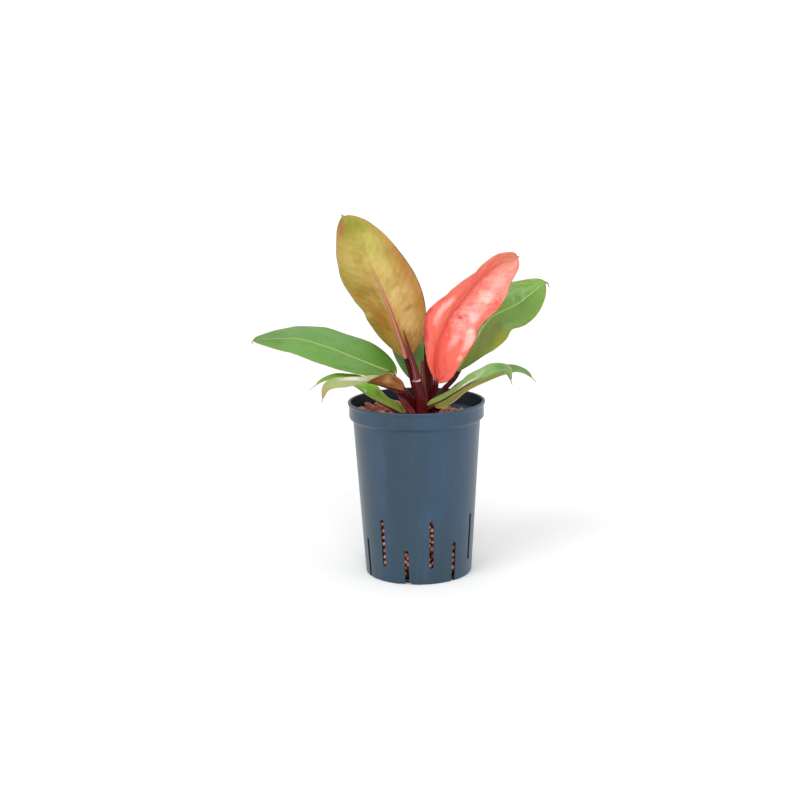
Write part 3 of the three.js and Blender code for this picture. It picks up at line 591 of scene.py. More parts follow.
def rod_maps(rings):
    """Maps of a rod's rings: turn holds the cosine and sine round it, run its length and its height."""
    rows, sides = rings.shape[:2]
    angle = np.linspace(0, 2 * np.pi, sides, endpoint=False)
    turn = np.broadcast_to(np.stack([np.cos(angle), np.sin(angle)], axis=-1), (rows, sides, 2))
    steps = np.linalg.norm(np.diff(rings.mean(axis=1), axis=0), axis=1)
    length = np.concatenate([[0], np.cumsum(steps)])
    run = PER_MM * np.stack([np.broadcast_to(length[:, None], (rows, sides)), rings[..., 2]], axis=-1)
    return {"turn": turn.reshape(-1, 2), "run": run.reshape(-1, 2)}


def joined_maps(parts):
    """The maps of several bodies, one after the other."""
    return {key: np.vstack([maps[key] for maps in parts]) for key in parts[0]}


def lathe_rings(profile, segments):
    """A profile of radius and height turned round the Z axis: (r cos a, r sin a, z)."""
    profile = np.asarray(profile, float)
    angle = np.linspace(0, 2 * np.pi, segments, endpoint=False)
    r, z = profile[:, :1], profile[:, 1:]
    return np.stack([r * np.cos(angle), r * np.sin(angle), z + 0 * angle], axis=-1)


def rounded(corners, steps=6):
    """A polyline whose corners (x, y, radius) are replaced by a quadratic curve of about that radius."""
    corners = np.asarray(corners, float)
    place = corners[:, :2]
    found = [place[:1]]
    for before, corner, after, radius in zip(place, place[1:], place[2:], corners[1:-1, 2]):
        start = corner + (before - corner) * min(radius / np.linalg.norm(before - corner), 0.5)
        end = corner + (after - corner) * min(radius / np.linalg.norm(after - corner), 0.5)
        f = np.linspace(0, 1, steps)[:, None]
        curve = (1 - f) ** 2 * start + 2 * f * (1 - f) * corner + f**2 * end
        found.append(curve if radius else corner[None])
    return np.vstack([*found, place[-1:]])


# Meshes

def ring_faces(rows, ring):
    """Quads between neighbouring rows of rings, closed all round."""
    i, j = np.meshgrid(np.arange(rows - 1), np.arange(ring), indexing="ij")
    here, beside = i * ring + j, i * ring + (j + 1) % ring
    return np.stack([here, beside, beside + ring, here + ring], axis=-1).reshape(-1, 4)


def end_faces(first, ring, flipped):
    """A strip of quads across the ring that starts at a point, which closes the end of a body."""
    j = np.arange(ring // 2 - 1)
    strip = np.stack([first + j, first + j + 1, first + ring - 2 - j, first + ring - 1 - j], axis=-1)
    return strip[:, ::-1] if flipped else strip


def closed_body(rings):
    """Vertices and quads of a body made of rings, with both of its ends closed."""
    rows, ring = rings.shape[:2]
    faces = [ring_faces(rows, ring), end_faces(0, ring, True), end_faces((rows - 1) * ring, ring, False)]
    return rings.reshape(-1, 3), np.vstack(faces)


def joined(bodies):
    """Several bodies as one list of vertices and one of faces."""
    starts = np.cumsum([0] + [len(points) for points, _ in bodies[:-1]])
    faces = np.vstack([own + start for (_, own), start in zip(bodies, starts)])
    return np.vstack([points for points, _ in bodies]), faces


def add_object(name, points, faces, materials, face_material=None, uv=None, smooth=True):
    """Puts arrays of points in millimetres and faces into a mesh object at the origin."""
    mesh = bpy.data.meshes.new(name)
    mesh.from_pydata((points * MM).tolist(), [], faces.tolist())
    for material in materials:
        mesh.materials.append(material)
    if face_material is not None:
        mesh.polygons.foreach_set("material_index", face_material.astype(np.int32))
    mesh.polygons.foreach_set("use_smooth", np.full(len(mesh.polygons), smooth))
    corner = np.empty(len(mesh.loops), np.int32)
    mesh.loops.foreach_get("vertex_index", corner)
    for layer, values in (uv or {}).items():
        mesh.uv_layers.new(name=layer).data.foreach_set("uv", values[corner].astype(np.float32).ravel())
    mesh.validate()
    mesh.update()
    piece = bpy.data.objects.new(name, mesh)
    bpy.context.scene.collection.objects.link(piece)
    return piece


def outward(piece):
    """Turns all faces of a piece outwards."""
    bpy.context.view_layer.objects.active = piece
    bpy.ops.object.select_all(action="DESELECT")
    piece.select_set(True)
    bpy.ops.object.mode_set(mode="EDIT")
    bpy.ops.mesh.select_all(action="SELECT")
    bpy.ops.mesh.normals_make_consistent(inside=False)
    bpy.ops.object.mode_set(mode="OBJECT")


def stand_for(piece, node):
    """Lets a piece ride on the object in the place of its node."""
    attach(piece, "root")
    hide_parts(node)


# Materials

def new_material(name):
    """An empty node material, and its tree."""
    material = bpy.data.materials.new(name)
    material.use_nodes = True
    material.node_tree.nodes.clear()
    return material, material.node_tree


def add_node(tree, kind, inputs=None, **settings):
    """Adds a node, applies its settings, and sets or links each of its inputs."""
    node = tree.nodes.new(kind)
    for key, value in settings.items():
        setattr(node, key, value)
    for key, value in (inputs or {}).items():
        if isinstance(value, bpy.types.NodeSocket):
            tree.links.new(value, node.inputs[key])
        else:
            node.inputs[key].default_value = value
    return node


def calc(tree, operation, *values, clamp=False):
    """A math node's result."""
    inputs = dict(enumerate(values))
    return add_node(tree, "ShaderNodeMath", inputs, operation=operation, use_clamp=clamp).outputs[0]


def swing(tree, value, size, middle=0.0):
    """A noise value of 0 to 1 as a swing round a middle: middle + size (value - 0.5)."""
    return calc(tree, "MULTIPLY_ADD", calc(tree, "SUBTRACT", value, 0.5), size, middle)


def mix(tree, factor, first, second, mode="MIX"):
    """Two colours mixed by a factor. A colour is a socket or three linear channels."""
    node = tree.nodes.new("ShaderNodeMix")
    node.data_type = "RGBA"
    node.blend_type = mode
    for key, value in ((0, factor), (6, first), (7, second)):
        if isinstance(value, bpy.types.NodeSocket):
            tree.links.new(value, node.inputs[key])
        else:
            node.inputs[key].default_value = value if key == 0 else (*value, 1)
    return node.outputs[2]


def ramp(tree, factor, stops):
    """A colour ramp through positions and linear colours."""
    node = add_node(tree, "ShaderNodeValToRGB", {0: factor})
    elements = node.color_ramp.elements
    elements[0].position, elements[0].color = stops[0][0], (*stops[0][1], 1)
    elements[1].position, elements[1].color = stops[-1][0], (*stops[-1][1], 1)
    for position, colour in stops[1:-1]:
        elements.new(position).color = (*colour, 1)
    return node.outputs[0]


def span(tree, value, low, high):
    """A value stretched so that low becomes 0 and high becomes 1, smoothly and clamped."""
    node = add_node(tree, "ShaderNodeMapRange", {0: value, 1: low, 2: high, 3: 0.0, 4: 1.0},
                    interpolation_type="SMOOTHSTEP")
    return node.outputs[0]


def noise(tree, place, scale, detail=3.0, roughness=0.5, stretch=None):
    """A noise texture's value at a place, stretched by three factors where they are given."""
    if stretch:
        place = add_node(tree, "ShaderNodeMapping", {"Vector": place, "Scale": stretch}).outputs[0]
    inputs = {"Vector": place, "Scale": scale, "Detail": detail, "Roughness": roughness}
    return add_node(tree, "ShaderNodeTexNoise", inputs).outputs["Fac"]


def bumped(tree, height, distance, normal=None):
    """A bump of the distance given, in metres, which may stand on another bump."""
    inputs = {"Height": height, "Distance": distance, "Strength": 1.0}
    if normal:
        inputs["Normal"] = normal
    return add_node(tree, "ShaderNodeBump", inputs).outputs[0]


def object_place(tree):
    """The place on the piece, in metres."""
    return add_node(tree, "ShaderNodeTexCoord").outputs["Object"]


def own_map(tree, name):
    """The two values of one of the piece's own UV maps."""
    both = add_node(tree, "ShaderNodeUVMap", uv_map=name).outputs[0]
    parts = add_node(tree, "ShaderNodeSeparateXYZ", {0: both}).outputs
    return parts[0], parts[1]


def principled(tree, colour, roughness, **inputs):
    """A principled shader. Its other inputs are named with underscores for spaces."""
    inputs = {key.replace("_", " "): value for key, value in inputs.items()}
    inputs |= {"Base Color": colour, "Roughness": roughness}
    return add_node(tree, "ShaderNodeBsdfPrincipled", inputs).outputs[0]


def finish_material(tree, shader):
    """Gives a material's shader to its output."""
    output = tree.nodes.new("ShaderNodeOutputMaterial")
    tree.links.new(shader, output.inputs["Surface"])


def leaf_ground(tree, look, s, t, cloud):
    """The leaf's colours from base to tip, with a cloudy tint on each half."""
    stops = [(at, rgb(*colour)) for at, colour in look["stops"]]
    colour = ramp(tree, swing(tree, cloud, 0.45, t), stops)
    for key, sign in (("left", -1.0), ("right", 1.0)):
        tint, strength = look[key]
        half = span(tree, calc(tree, "MULTIPLY", s, sign), 0.02, 0.35)
        patchy = calc(tree, "MULTIPLY", half, calc(tree, "MULTIPLY", cloud, 1.6 * strength), clamp=True)
        colour = mix(tree, patchy, colour, rgb(*tint))
    return colour


def leaf_patches(tree, colour, patches, s, t, uneven):
    """Soft spots of colour, some of them painted highlights and shade, each fading out from its middle over
    an uneven distance.
    """
    for t_middle, s_middle, t_size, s_size, spot, strength in patches:
        t_off = calc(tree, "DIVIDE", calc(tree, "SUBTRACT", t, t_middle), t_size)
        s_off = calc(tree, "DIVIDE", calc(tree, "SUBTRACT", s, s_middle), s_size)
        square = calc(tree, "MULTIPLY_ADD", t_off, t_off, calc(tree, "MULTIPLY", s_off, s_off))
        away = calc(tree, "ADD", calc(tree, "SQRT", square), uneven)
        inside = calc(tree, "SUBTRACT", 1.0, span(tree, away, 0.1, 1.25))
        colour = mix(tree, calc(tree, "MULTIPLY", inside, strength), colour, rgb(*spot))
    return colour


def leaf_veins(tree, t, reach, cloud, count):
    """The side veins of vein_lines, which wander a little: 1 on a vein and 0 beside it."""
    square = calc(tree, "MULTIPLY", reach, reach)
    bend = calc(tree, "MULTIPLY_ADD", square, VEIN_BEND, calc(tree, "MULTIPLY", reach, VEIN_LEAN))
    level = calc(tree, "SUBTRACT", t, swing(tree, cloud, 0.06, bend))
    wave = calc(tree, "COSINE", calc(tree, "MULTIPLY", level, 2 * math.pi * count))
    return calc(tree, "POWER", calc(tree, "MULTIPLY_ADD", wave, 0.5, 0.5), 10.0)


def leaf_rib(tree, colour, look, line, t, from_rib):
    """Colours the midrib, which narrows and fades towards the tip. Its flanks beneath are darkened with
    painted shade.
    """
    line = line * look.get("rib_size", 1.0) * PER_METRE
    width = calc(tree, "MULTIPLY_ADD", calc(tree, "SUBTRACT", 1.0, t), line, 0.3 * line)
    rib = calc(tree, "SUBTRACT", 1.0, span(tree, calc(tree, "DIVIDE", from_rib, width), 0.35, 1.0))
    rib = calc(tree, "MULTIPLY", rib, span(tree, t, *look.get("rib_fade", (1.0, 0.85))))
    flank = calc(tree, "ABSOLUTE", own_map(tree, "turn")[0])
    shade = calc(tree, "MULTIPLY", span(tree, flank, 0.35, 0.9), 0.7)
    tone = rgb(*look["rib"])
    return mix(tree, rib, colour, mix(tree, shade, tone, tuple(v * v for v in tone)))


def leaf_margin(tree, colour, look, line, from_margin, smudge):
    """Colours the margin, which is pale and dry in places."""
    line = line * look.get("margin_size", 1.0) * PER_METRE
    margin = calc(tree, "SUBTRACT", 1.0, span(tree, from_margin, 0.4 * line, 1.2 * line))
    rim = mix(tree, span(tree, smudge, 0.4, 0.65), rgb(*look["margin"]), rgb(222, 190, 140))
    return mix(tree, calc(tree, "MULTIPLY", margin, 0.9), colour, rim)


def leaf_material(name, look, settings):
    """Leaf tissue: colours along the leaf, a tint for each half, side veins, midrib and margin.

    The map across holds (s + 1) / 2 and t, the map edge holds the distances from the midrib and from
    the margin, and the map turn holds the turn round the midrib's rod and 0 on the blade.
    """
    material, tree = new_material(name)
    place = object_place(tree)
    crosswise, t = own_map(tree, "across")
    from_rib, from_margin = own_map(tree, "edge")
    s = calc(tree, "MULTIPLY_ADD", crosswise, 2.0, -1.0)
    reach = calc(tree, "ABSOLUTE", s)
    cloud = noise(tree, place, settings.cloud_scale, detail=4.0, roughness=0.55)
    smudge = noise(tree, place, settings.cloud_scale * 2.3, detail=5.0, roughness=0.6)
    fine = noise(tree, place, settings.grain_scale, detail=3.0, roughness=0.6)
    slanted = calc(tree, "MULTIPLY_ADD", reach, -0.12, t)
    flow = {0: calc(tree, "MULTIPLY", s, 3.0), 1: calc(tree, "MULTIPLY", slanted, 8.5)}
    flow = add_node(tree, "ShaderNodeCombineXYZ", flow).outputs[0]
    streak = noise(tree, flow, 1.0, detail=4.0, roughness=0.6)

    colour = leaf_ground(tree, look, s, t, cloud)
    uneven = swing(tree, streak, 1.8, swing(tree, smudge, 1.6))
    colour = leaf_patches(tree, colour, look["patches"], s, t, uneven)
    blotch = calc(tree, "MULTIPLY", span(tree, streak, 0.45, 0.75), settings.mottling)
    colour = mix(tree, blotch, colour, mix(tree, 1.0, colour, colour, "MULTIPLY"))
    vein = leaf_veins(tree, t, reach, cloud, settings.vein_count)
    colour = mix(tree, calc(tree, "MULTIPLY", vein, settings.vein_strength), colour, rgb(*look["vein"]))
    colour = leaf_rib(tree, colour, look, settings.rib_line, t, from_rib)
    colour = leaf_margin(tree, colour, look, settings.margin_line, from_margin, smudge)

    height = calc(tree, "MULTIPLY_ADD", vein, 0.35, calc(tree, "MULTIPLY", fine, 0.4))
    soft = bumped(tree, streak, settings.quilting * look.get("quilt", 1.0))
    relief = bumped(tree, height, settings.relief, normal=soft)
    surface = principled(tree, colour, swing(tree, fine, 0.16, settings.roughness), Normal=relief,
                         Specular_IOR_Level=0.35, Coat_Weight=settings.coat, Coat_Roughness=0.12,
                         Coat_Normal=relief)
    through = add_node(tree, "ShaderNodeBsdfTranslucent", {"Color": colour, "Normal": relief}).outputs[0]
    shaders = {0: settings.through, 1: surface, 2: through}
    finish_material(tree, add_node(tree, "ShaderNodeMixShader", shaders).outputs[0])
    return material


def stem_material(name, dark, light, roughness, shine=0.25, speckle=0.0, rim=None):
    """Petiole skin: dark and light streaks that run lengthwise, pale speckles and a fine grain.

    It reads the maps turn and run. A rim is a height in decimetres and the pale colour above it, partly a
    painted highlight.
    """
    material, tree = new_material(name)
    length, height = own_map(tree, "run")
    skin = dict(enumerate((*own_map(tree, "turn"), length)))
    skin = add_node(tree, "ShaderNodeCombineXYZ", skin).outputs[0]
    streaks = noise(tree, skin, 2.6, detail=4.0, roughness=0.6, stretch=(1, 1, 0.5))
    patch = noise(tree, skin, 1.1, detail=3.0, roughness=0.5, stretch=(1, 1, 3.0))
    spots = noise(tree, object_place(tree), 900.0, detail=2.0, roughness=0.5)
    colour = mix(tree, span(tree, streaks, 0.42, 0.68), dark, light)
    colour = mix(tree, calc(tree, "MULTIPLY", span(tree, patch, 0.45, 0.7), 0.75), colour, dark)
    speckles = calc(tree, "MULTIPLY", span(tree, spots, 0.62, 0.72), speckle)
    colour = mix(tree, speckles, colour, rgb(196, 150, 140))
    if rim:
        # A pale rim above its height: partly its own colour and partly a painted highlight on the cut edge.
        colour = mix(tree, span(tree, height, rim[0], rim[0] + 0.02), colour, rgb(*rim[1]))
    finish_material(tree, principled(
        tree, colour, roughness, Normal=bumped(tree, streaks, 0.0004), Specular_IOR_Level=shine,
        Coat_Weight=shine * 0.5, Coat_Roughness=0.12))
    return material


def pot_material(settings):
    """Satin plastic with upright flow streaks, cloudy patches and a faint moulding grain."""
    material, tree = new_material("pot_plastic")
    place = object_place(tree)
    flow = noise(tree, place, 16.0, detail=4.0, roughness=0.55, stretch=(1, 1, 0.18))
    cloud = noise(tree, place, 9.0, detail=3.0, roughness=0.5)
    grain = noise(tree, place, 1400.0, detail=2.0, roughness=0.5)
    scuff = noise(tree, place, 60.0, detail=6.0, roughness=0.65, stretch=(1, 1, 0.25))
    colour = mix(tree, span(tree, flow, 0.35, 0.7), tuple(settings.colour), tuple(settings.streak_colour))
    shade = calc(tree, "MULTIPLY", span(tree, cloud, 0.45, 0.75), 0.5)
    colour = mix(tree, shade, colour, tuple(settings.shade_colour))
    dust = calc(tree, "MULTIPLY", span(tree, scuff, 0.5, 0.8), 0.05)
    colour = mix(tree, dust, colour, rgb(150, 160, 168))
    finish_material(tree, principled(
        tree, colour, swing(tree, scuff, 0.2, settings.roughness), Normal=bumped(tree, grain, 0.00003),
        Specular_IOR_Level=0.5))
    return material


def clay_material(settings):
    """Expanded clay: red-brown with pale dust, dark pits and a rough, bubbly skin.

    The map rise holds each pebble's own height from 0 to 1, and its lower part is darkened as painted shade.
    """
    material, tree = new_material("clay")
    place = object_place(tree)
    tone = noise(tree, place, 70.0, detail=3.0, roughness=0.5)
    dust = noise(tree, place, 260.0, detail=5.0, roughness=0.7)
    pits = add_node(tree, "ShaderNodeTexVoronoi", {"Vector": place, "Scale": 900.0}).outputs["Distance"]
    dark = tuple(settings.dark_colour)
    colour = mix(tree, span(tree, tone, 0.35, 0.65), dark, tuple(settings.colour))
    dusty = calc(tree, "MULTIPLY", span(tree, dust, 0.55, 0.75), 0.55)
    colour = mix(tree, dusty, colour, tuple(settings.dust_colour))
    colour = mix(tree, span(tree, pits, 0.22, 0.05), colour, dark)
    rise, _ = own_map(tree, "rise")
    # Painted shade: each pebble darkens towards its underside, where it lies among the others.
    colour = mix(tree, span(tree, rise, 0.78, 0.42), colour, rgb(84, 36, 28))
    height = calc(tree, "MULTIPLY_ADD", span(tree, pits, 0.0, 0.3), 0.5, dust)
    finish_material(tree, principled(
        tree, colour, 0.85, Normal=bumped(tree, height, 0.0016), Specular_IOR_Level=0.3))
    return material


def plain_material(name, colour, roughness, shine):
    """One colour all over."""
    material, tree = new_material(name)
    finish_material(tree, principled(tree, (*colour, 1), roughness, Specular_IOR_Level=shine))
    return material


# Settings

def colour_property(name, description, red, green, blue):
    """A colour, given as a display colour of 0 to 255 a channel."""
    return bpy.props.FloatVectorProperty(
        name=name, description=description, subtype="COLOR", size=3, min=0, max=1,
        default=rgb(red, green, blue))


def length_property(name, description, millimetres):
    """A length, given in millimetres and kept in metres."""
    return bpy.props.FloatProperty(
        name=name, description=description, unit="LENGTH", subtype="DISTANCE", precision=4, min=0,
        default=float(millimetres) * MM)


def factor_property(name, description, value):
    """A share of 0 to 1."""
    return bpy.props.FloatProperty(
        name=name, description=description, subtype="FACTOR", min=0, max=1, default=value)


def strength_property(name, description, value):
    """The strength of a light."""
    return bpy.props.FloatProperty(name=name, description=description, min=0, default=value)


class PotSettings(bpy.types.PropertyGroup):
    """Sizes and colours of the pot"""
    height: length_property("Height", "From the underside to the top of the lip", POT_HIGH[2] / MM)
    lip_radius: length_property("Lip radius", "Outside of the lip", POT_HIGH[0] / MM)
    collar_radius: length_property("Collar radius", "Outside of the collar", 73.7)
    collar_bottom: length_property("Collar bottom", "Height of the collar's lower edge", 171)
    body_radius: length_property("Body radius", "Outside of the body just below the collar", 69.6)
    foot_radius: length_property("Foot radius", "Outside of the body at its foot", 59.5)
    wall: length_property("Wall", "Thickness of the wall", 1.8)
    floor: length_property("Floor", "Thickness of the floor", 4.2)
    slot_width: length_property("Slot width", "Width of the slots", 4.6)
    slot_count: bpy.props.IntProperty(
        name="Slots", description="Number of slots, low and high by turns", min=2, default=14)
    first_slot: bpy.props.FloatProperty(
        name="First slot", description="Turn of the first low slot from the front", subtype="ANGLE",
        default=math.radians(-13.2))
    roughness: factor_property("Roughness", "Roughness of the plastic", 0.34)
    colour: colour_property("Colour", "Main colour of the plastic", 28, 56, 72)
    streak_colour: colour_property("Streak", "Bluer streaks in the plastic", 34, 64, 90)
    shade_colour: colour_property("Shade", "Darker patches in the plastic", 26, 50, 62)


class PebbleSettings(bpy.types.PropertyGroup):
    """How the filling lies, and its colours"""
    level: length_property("Level", "Height of the filling at the middle", 175)
    slope: bpy.props.FloatProperty(
        name="Slope", description="Rise of the filling per length to the right", default=-0.09)
    radius: length_property("Radius", "Radius of a middling pebble", 4.8)
    count: bpy.props.IntProperty(
        name="Count", description="Pebbles in the two top layers", min=1, default=380)
    seed: bpy.props.IntProperty(name="Seed", description="Start of the random draw", default=11)
    colour: colour_property("Colour", "Main colour of the clay", 252, 186, 162)
    dark_colour: colour_property("Dark", "Colour of the darker pebbles and the pits", 206, 118, 96)
    dust_colour: colour_property("Dust", "Colour of the dust on the clay", 248, 216, 200)


class LeafSettings(bpy.types.PropertyGroup):
    """Thickness, veins and skin of the leaves"""
    thickness: length_property("Thickness", "Thickness of a blade beside its midrib", 0.7)
    rows: bpy.props.IntProperty(name="Rows", description="Steps from base to tip", min=20, default=150)
    columns: bpy.props.IntProperty(
        name="Columns", description="Steps from margin to margin", min=8, default=56)
    vein_count: bpy.props.IntProperty(
        name="Veins", description="Side veins along a half", min=1, default=17)
    vein_height: length_property("Vein height", "Relief of the side veins", 0.18)
    rib_groove: length_property("Groove", "Depth of the groove over the midrib", 0.4)
    vein_strength: factor_property("Vein colour", "Strength of the side veins' colour", 0.18)
    mottling: factor_property("Mottling", "Strength of the darker blotches", 0.22)
    rib_line: length_property("Midrib line", "Half width of the coloured midrib at the base", 1.1)
    margin_line: length_property("Margin line", "Width of the coloured margin", 1.0)
    relief: length_property("Relief", "Height of the fine relief", 0.16)
    quilting: length_property("Quilting", "Height of the soft quilting between the veins", 1.7)
    cloud_scale: bpy.props.FloatProperty(
        name="Cloud scale", description="Clouds of colour per metre", default=26)
    grain_scale: bpy.props.FloatProperty(
        name="Grain scale", description="Grain per metre", default=900)
    roughness: factor_property("Roughness", "Roughness of the leaf skin", 0.31)
    coat: factor_property("Coat", "Strength of the waxy coat", 0.4)
    through: factor_property("Through light", "Share of light that shines through", 0.22)


class StemSettings(bpy.types.PropertyGroup):
    """Sizes and colours of the stem, the new leaf, the sheaths and the root"""
    root_radius: length_property("Root radius", "Radius of a petiole where it leaves the stem", 4.6)
    stem_radius: length_property("Stem radius", "Radius of the short stem", 11)
    stem_bottom: length_property("Stem bottom", "Height of the stem's lower end in the filling", 150)
    stem_top: length_property("Stem top", "Height of the stem's upper end", 208)
    colour: colour_property("Colour", "Main colour of the petioles", 54, 0, 6)
    light_colour: colour_property("Light", "Lighter streaks of the petioles", 106, 8, 16)
    spear_colour: colour_property("New leaf", "Main colour of the rolled new leaf", 70, 0, 6)
    sheath_colour: colour_property("Sheath", "Main colour of the sheaths", 84, 16, 22)
    sheath_light: colour_property("Sheath light", "Lighter streaks of the sheaths", 176, 92, 90)
    root_colour: colour_property("Root", "Colour of the root tip", 150, 96, 92)


class StageSettings(bpy.types.PropertyGroup):
    """The floor and the light"""
    floor_size: length_property("Floor size", "Side of the floor", 16000)
    floor_colour: colour_property("Floor colour", "Colour of the floor", 246, 246, 246)
    surround: strength_property("Surround", "Strength of the even light all round", 0.76)
    key: strength_property("Key", "Strength of the light from the upper left", 1.05)
    front: strength_property("Front", "Strength of the light from the front", 0.9)
    fill: strength_property("Fill", "Strength of the light from the right", 0.4)


# Pieces

def pot_profile(settings):
    """Outline of the pot as radius and height: from its underside up, over the lip and down inside.

    Each corner is given with its rounding.
    """
    s = settings
    height, lip, collar, low = (v / MM for v in (s.height, s.lip_radius, s.collar_radius, s.collar_bottom))
    body, foot, wall, floor = (v / MM for v in (s.body_radius, s.foot_radius, s.wall, s.floor))
    inner = collar - wall
    slope = (body - foot) / (low - FOOT_HEIGHT)
    inside_foot = foot - wall + slope * (floor - FOOT_HEIGHT)
    return rounded([
        (0.01, 0, 0), (foot - FOOT_INSET, 0, FOOT_ROUND), (body, low, 0.3), (collar, low + COLLAR_STEP, 1.2),
        (collar, height - LIP_FOOT, 1.0), (lip, height - LIP_HEIGHT, 0.5), (lip, height, 0.8),
        (inner, height, 0.8), (inner, low + COLLAR_STEP + 0.5, 1.5), (body - wall, low + 0.5, 1.5),
        (inside_foot, floor, 4.0), (0.01, floor, 0),
    ])


def wall_radius(settings, z):
    """Outside radius of the tapering body at heights z, in millimetres."""
    low, body, foot = (v / MM for v in (settings.collar_bottom, settings.body_radius, settings.foot_radius))
    return foot + (body - foot) * np.clip((z - FOOT_HEIGHT) / (low - FOOT_HEIGHT), 0, 1)


def slot_ends(k):
    """Heights of the lower and upper end of slot k."""
    if k % 2:
        return HIGH_SLOT
    return DRAIN_SLOT if k in DRAINS else LOW_SLOT


def slot_angle(settings, k):
    """Turn of slot k from the front, in radians."""
    return settings.first_slot + 2 * math.pi * k / settings.slot_count


def turned(rings, angle):
    """Rings turned round the Z axis."""
    return rings @ np.array(Matrix.Rotation(angle, 3, "Z")).T


def slot_cutter(settings, bottom, top, angle):
    """A bar with round ends through the wall: the slot's outline swept outwards, flared at the outside.

    The outline is two half circles of half the slot's width. Each ring lies at a distance from the
    wall's outside and is wider than the slot by its flare.
    """
    half = settings.slot_width / MM / 2
    arc = np.linspace(0, np.pi, 13)
    crosswise = half * np.concatenate([np.cos(arc), -np.cos(arc)])
    upwards = np.concatenate([np.sin(arc), -np.sin(arc)])
    ends = np.repeat((top - half, bottom + half), len(arc))
    distance = np.array([-6.0, -0.45, 0.0, 1.2])[:, None]
    flare = np.array([0.0, 0.0, 0.3, 1.0])[:, None]
    z = ends + upwards * (half + flare)
    x = crosswise * (1 + flare / half)
    radius = wall_radius(settings, z) + distance
    return closed_body(turned(np.stack([x, -radius, z], axis=-1), angle))


def drain_cutter(angle):
    """A shallow drain under the floor, from near the middle out through the foot.

    Its section is a rectangle below the underside and narrows to the top by its slope on each side.
    """
    wide, narrow = DRAIN_WIDTH / 2, DRAIN_WIDTH / 2 - DRAIN_SLOPE
    x = np.array([-wide, wide, wide, narrow, -narrow, -wide])
    z = np.array([-1.0, -1.0, 0.0, DRAIN_HEIGHT, DRAIN_HEIGHT, 0.0])
    out = np.array([DRAIN_START, DRAIN_END])[:, None]
    return closed_body(turned(np.stack(np.broadcast_arrays(x, -out, z), axis=-1), angle))


def subtract(piece, name, bodies):
    """Cuts a piece with several bodies at once."""
    cutter = add_object(name, *joined(bodies), [])
    outward(cutter)
    cut = piece.modifiers.new("cut", "BOOLEAN")
    cut.operation = "DIFFERENCE"
    cut.solver = "EXACT"
    cut.object = cutter
    bpy.context.view_layer.objects.active = piece
    bpy.ops.object.modifier_apply(modifier=cut.name)
    bpy.data.objects.remove(cutter)


class PHILODENDRON_OT_pot(bpy.types.Operator):
    """Makes the slotted pot"""
    bl_idname = "philodendron.pot"
    bl_label = "Pot"

    def execute(self, context):
        settings = context.scene.philodendron_pot
        points, faces = closed_body(lathe_rings(pot_profile(settings), 224))
        piece = add_object("slotted_pot", points, faces, [pot_material(settings)])
        outward(piece)
        angles = [slot_angle(settings, k) for k in range(settings.slot_count)]
        slots = [slot_cutter(settings, *slot_ends(k), angle) for k, angle in enumerate(angles)]
        subtract(piece, "slot_cutter", slots)
        subtract(piece, "drain_cutter", [drain_cutter(angles[k]) for k in DRAINS])
        piece.data.polygons.foreach_set("use_smooth", np.full(len(piece.data.polygons), True))
        piece.data.set_sharp_from_angle(angle=math.radians(32))
        stand_for(piece, "pot")
        return {"FINISHED"}


def pebble_bodies(centres, radii, seed):
    """Lumpy pebbles: spheres squashed and swollen by seeded sines of their own directions.

    Returns the bodies, and each point's height in its own pebble from 0 to 1.
    """
    draw = np.random.default_rng(seed)

    def lumps(size, count):
        """Swelling of the sphere: the sum of three sines of the height given."""
        way, shift = draw.normal(size=(3, 3)) * count, draw.uniform(0, 6.28, 3)
        return size * np.sin(sphere @ way + shift).sum(-1)[..., None]

    polar = np.linspace(0.2, np.pi - 0.2, PEBBLE_RINGS)[:, None]
    turn = np.linspace(0, 2 * np.pi, PEBBLE_SIDES, endpoint=False)[None]
    sphere = np.stack([np.sin(polar) * np.cos(turn), np.sin(polar) * np.sin(turn),
                       np.cos(polar) + 0 * turn], axis=-1)
    bodies, rises = [], []
    for centre, radius in zip(centres, radii):
        axes, _ = np.linalg.qr(draw.normal(size=(3, 3)))
        squash = np.array([1.0, draw.uniform(0.82, 1.0), draw.uniform(0.72, 0.92)])
        shape = (sphere * (1 + lumps(0.07, 2.4) + lumps(0.035, 6)) * squash) @ axes
        points, faces = closed_body(shape * radius + centre)
        bodies.append((points, faces if np.linalg.det(axes) > 0 else faces[:, ::-1]))
        rises.append(0.5 + 0.5 * (points[:, 2] - centre[2]) / radius)
    return bodies, np.concatenate(rises)


def low_leaf_points():
    """Points on the leaves near the filling, which pebbles keep clear of."""
    t, s = np.meshgrid(np.linspace(0, 1, 30), np.linspace(-1, 1, 9), indexing="ij")
    found = np.vstack([leaf_surface(leaf, t, s)[0].reshape(-1, 3) for leaf in LEAVES.values()])
    return found[found[:, 2] < POT_HIGH[2] / MM + 10]


def top_pebbles(settings, pot, draw):
    """Centres and radii of the two top layers: a sunflower spiral over the filling's whole width.

    Pebble k lies at the radius widest sqrt((k + 0.5) / count), one golden angle on from the last, and
    is left out where it would touch a leaf or the stem.
    """
    count = settings.count
    k = np.arange(count)
    size = settings.radius / MM * draw.uniform(*PEBBLE_SIZES, count)
    widest = (pot.body_radius - pot.wall) / MM - size - WALL_ROOM
    radius = widest * np.sqrt((k + 0.5) / count)
    angle = k * GOLDEN_ANGLE + draw.uniform(0, TURN_TOSS, count)
    x, y = radius * np.cos(angle), radius * np.sin(angle)
    z = settings.level / MM + settings.slope * x + draw.uniform(*TOSS, count) - LAYER * (k % 2)
    centres = np.stack([x, y, z], axis=-1)
    away = np.linalg.norm(centres[:, None] - low_leaf_points()[None], axis=-1).min(axis=1)
    apart = np.hypot(x - STEM_CENTRE[0], y - STEM_CENTRE[1])
    keep = (away > size + LEAF_ROOM) & (apart > size + STEM_ROOM)
    return centres[keep], size[keep]


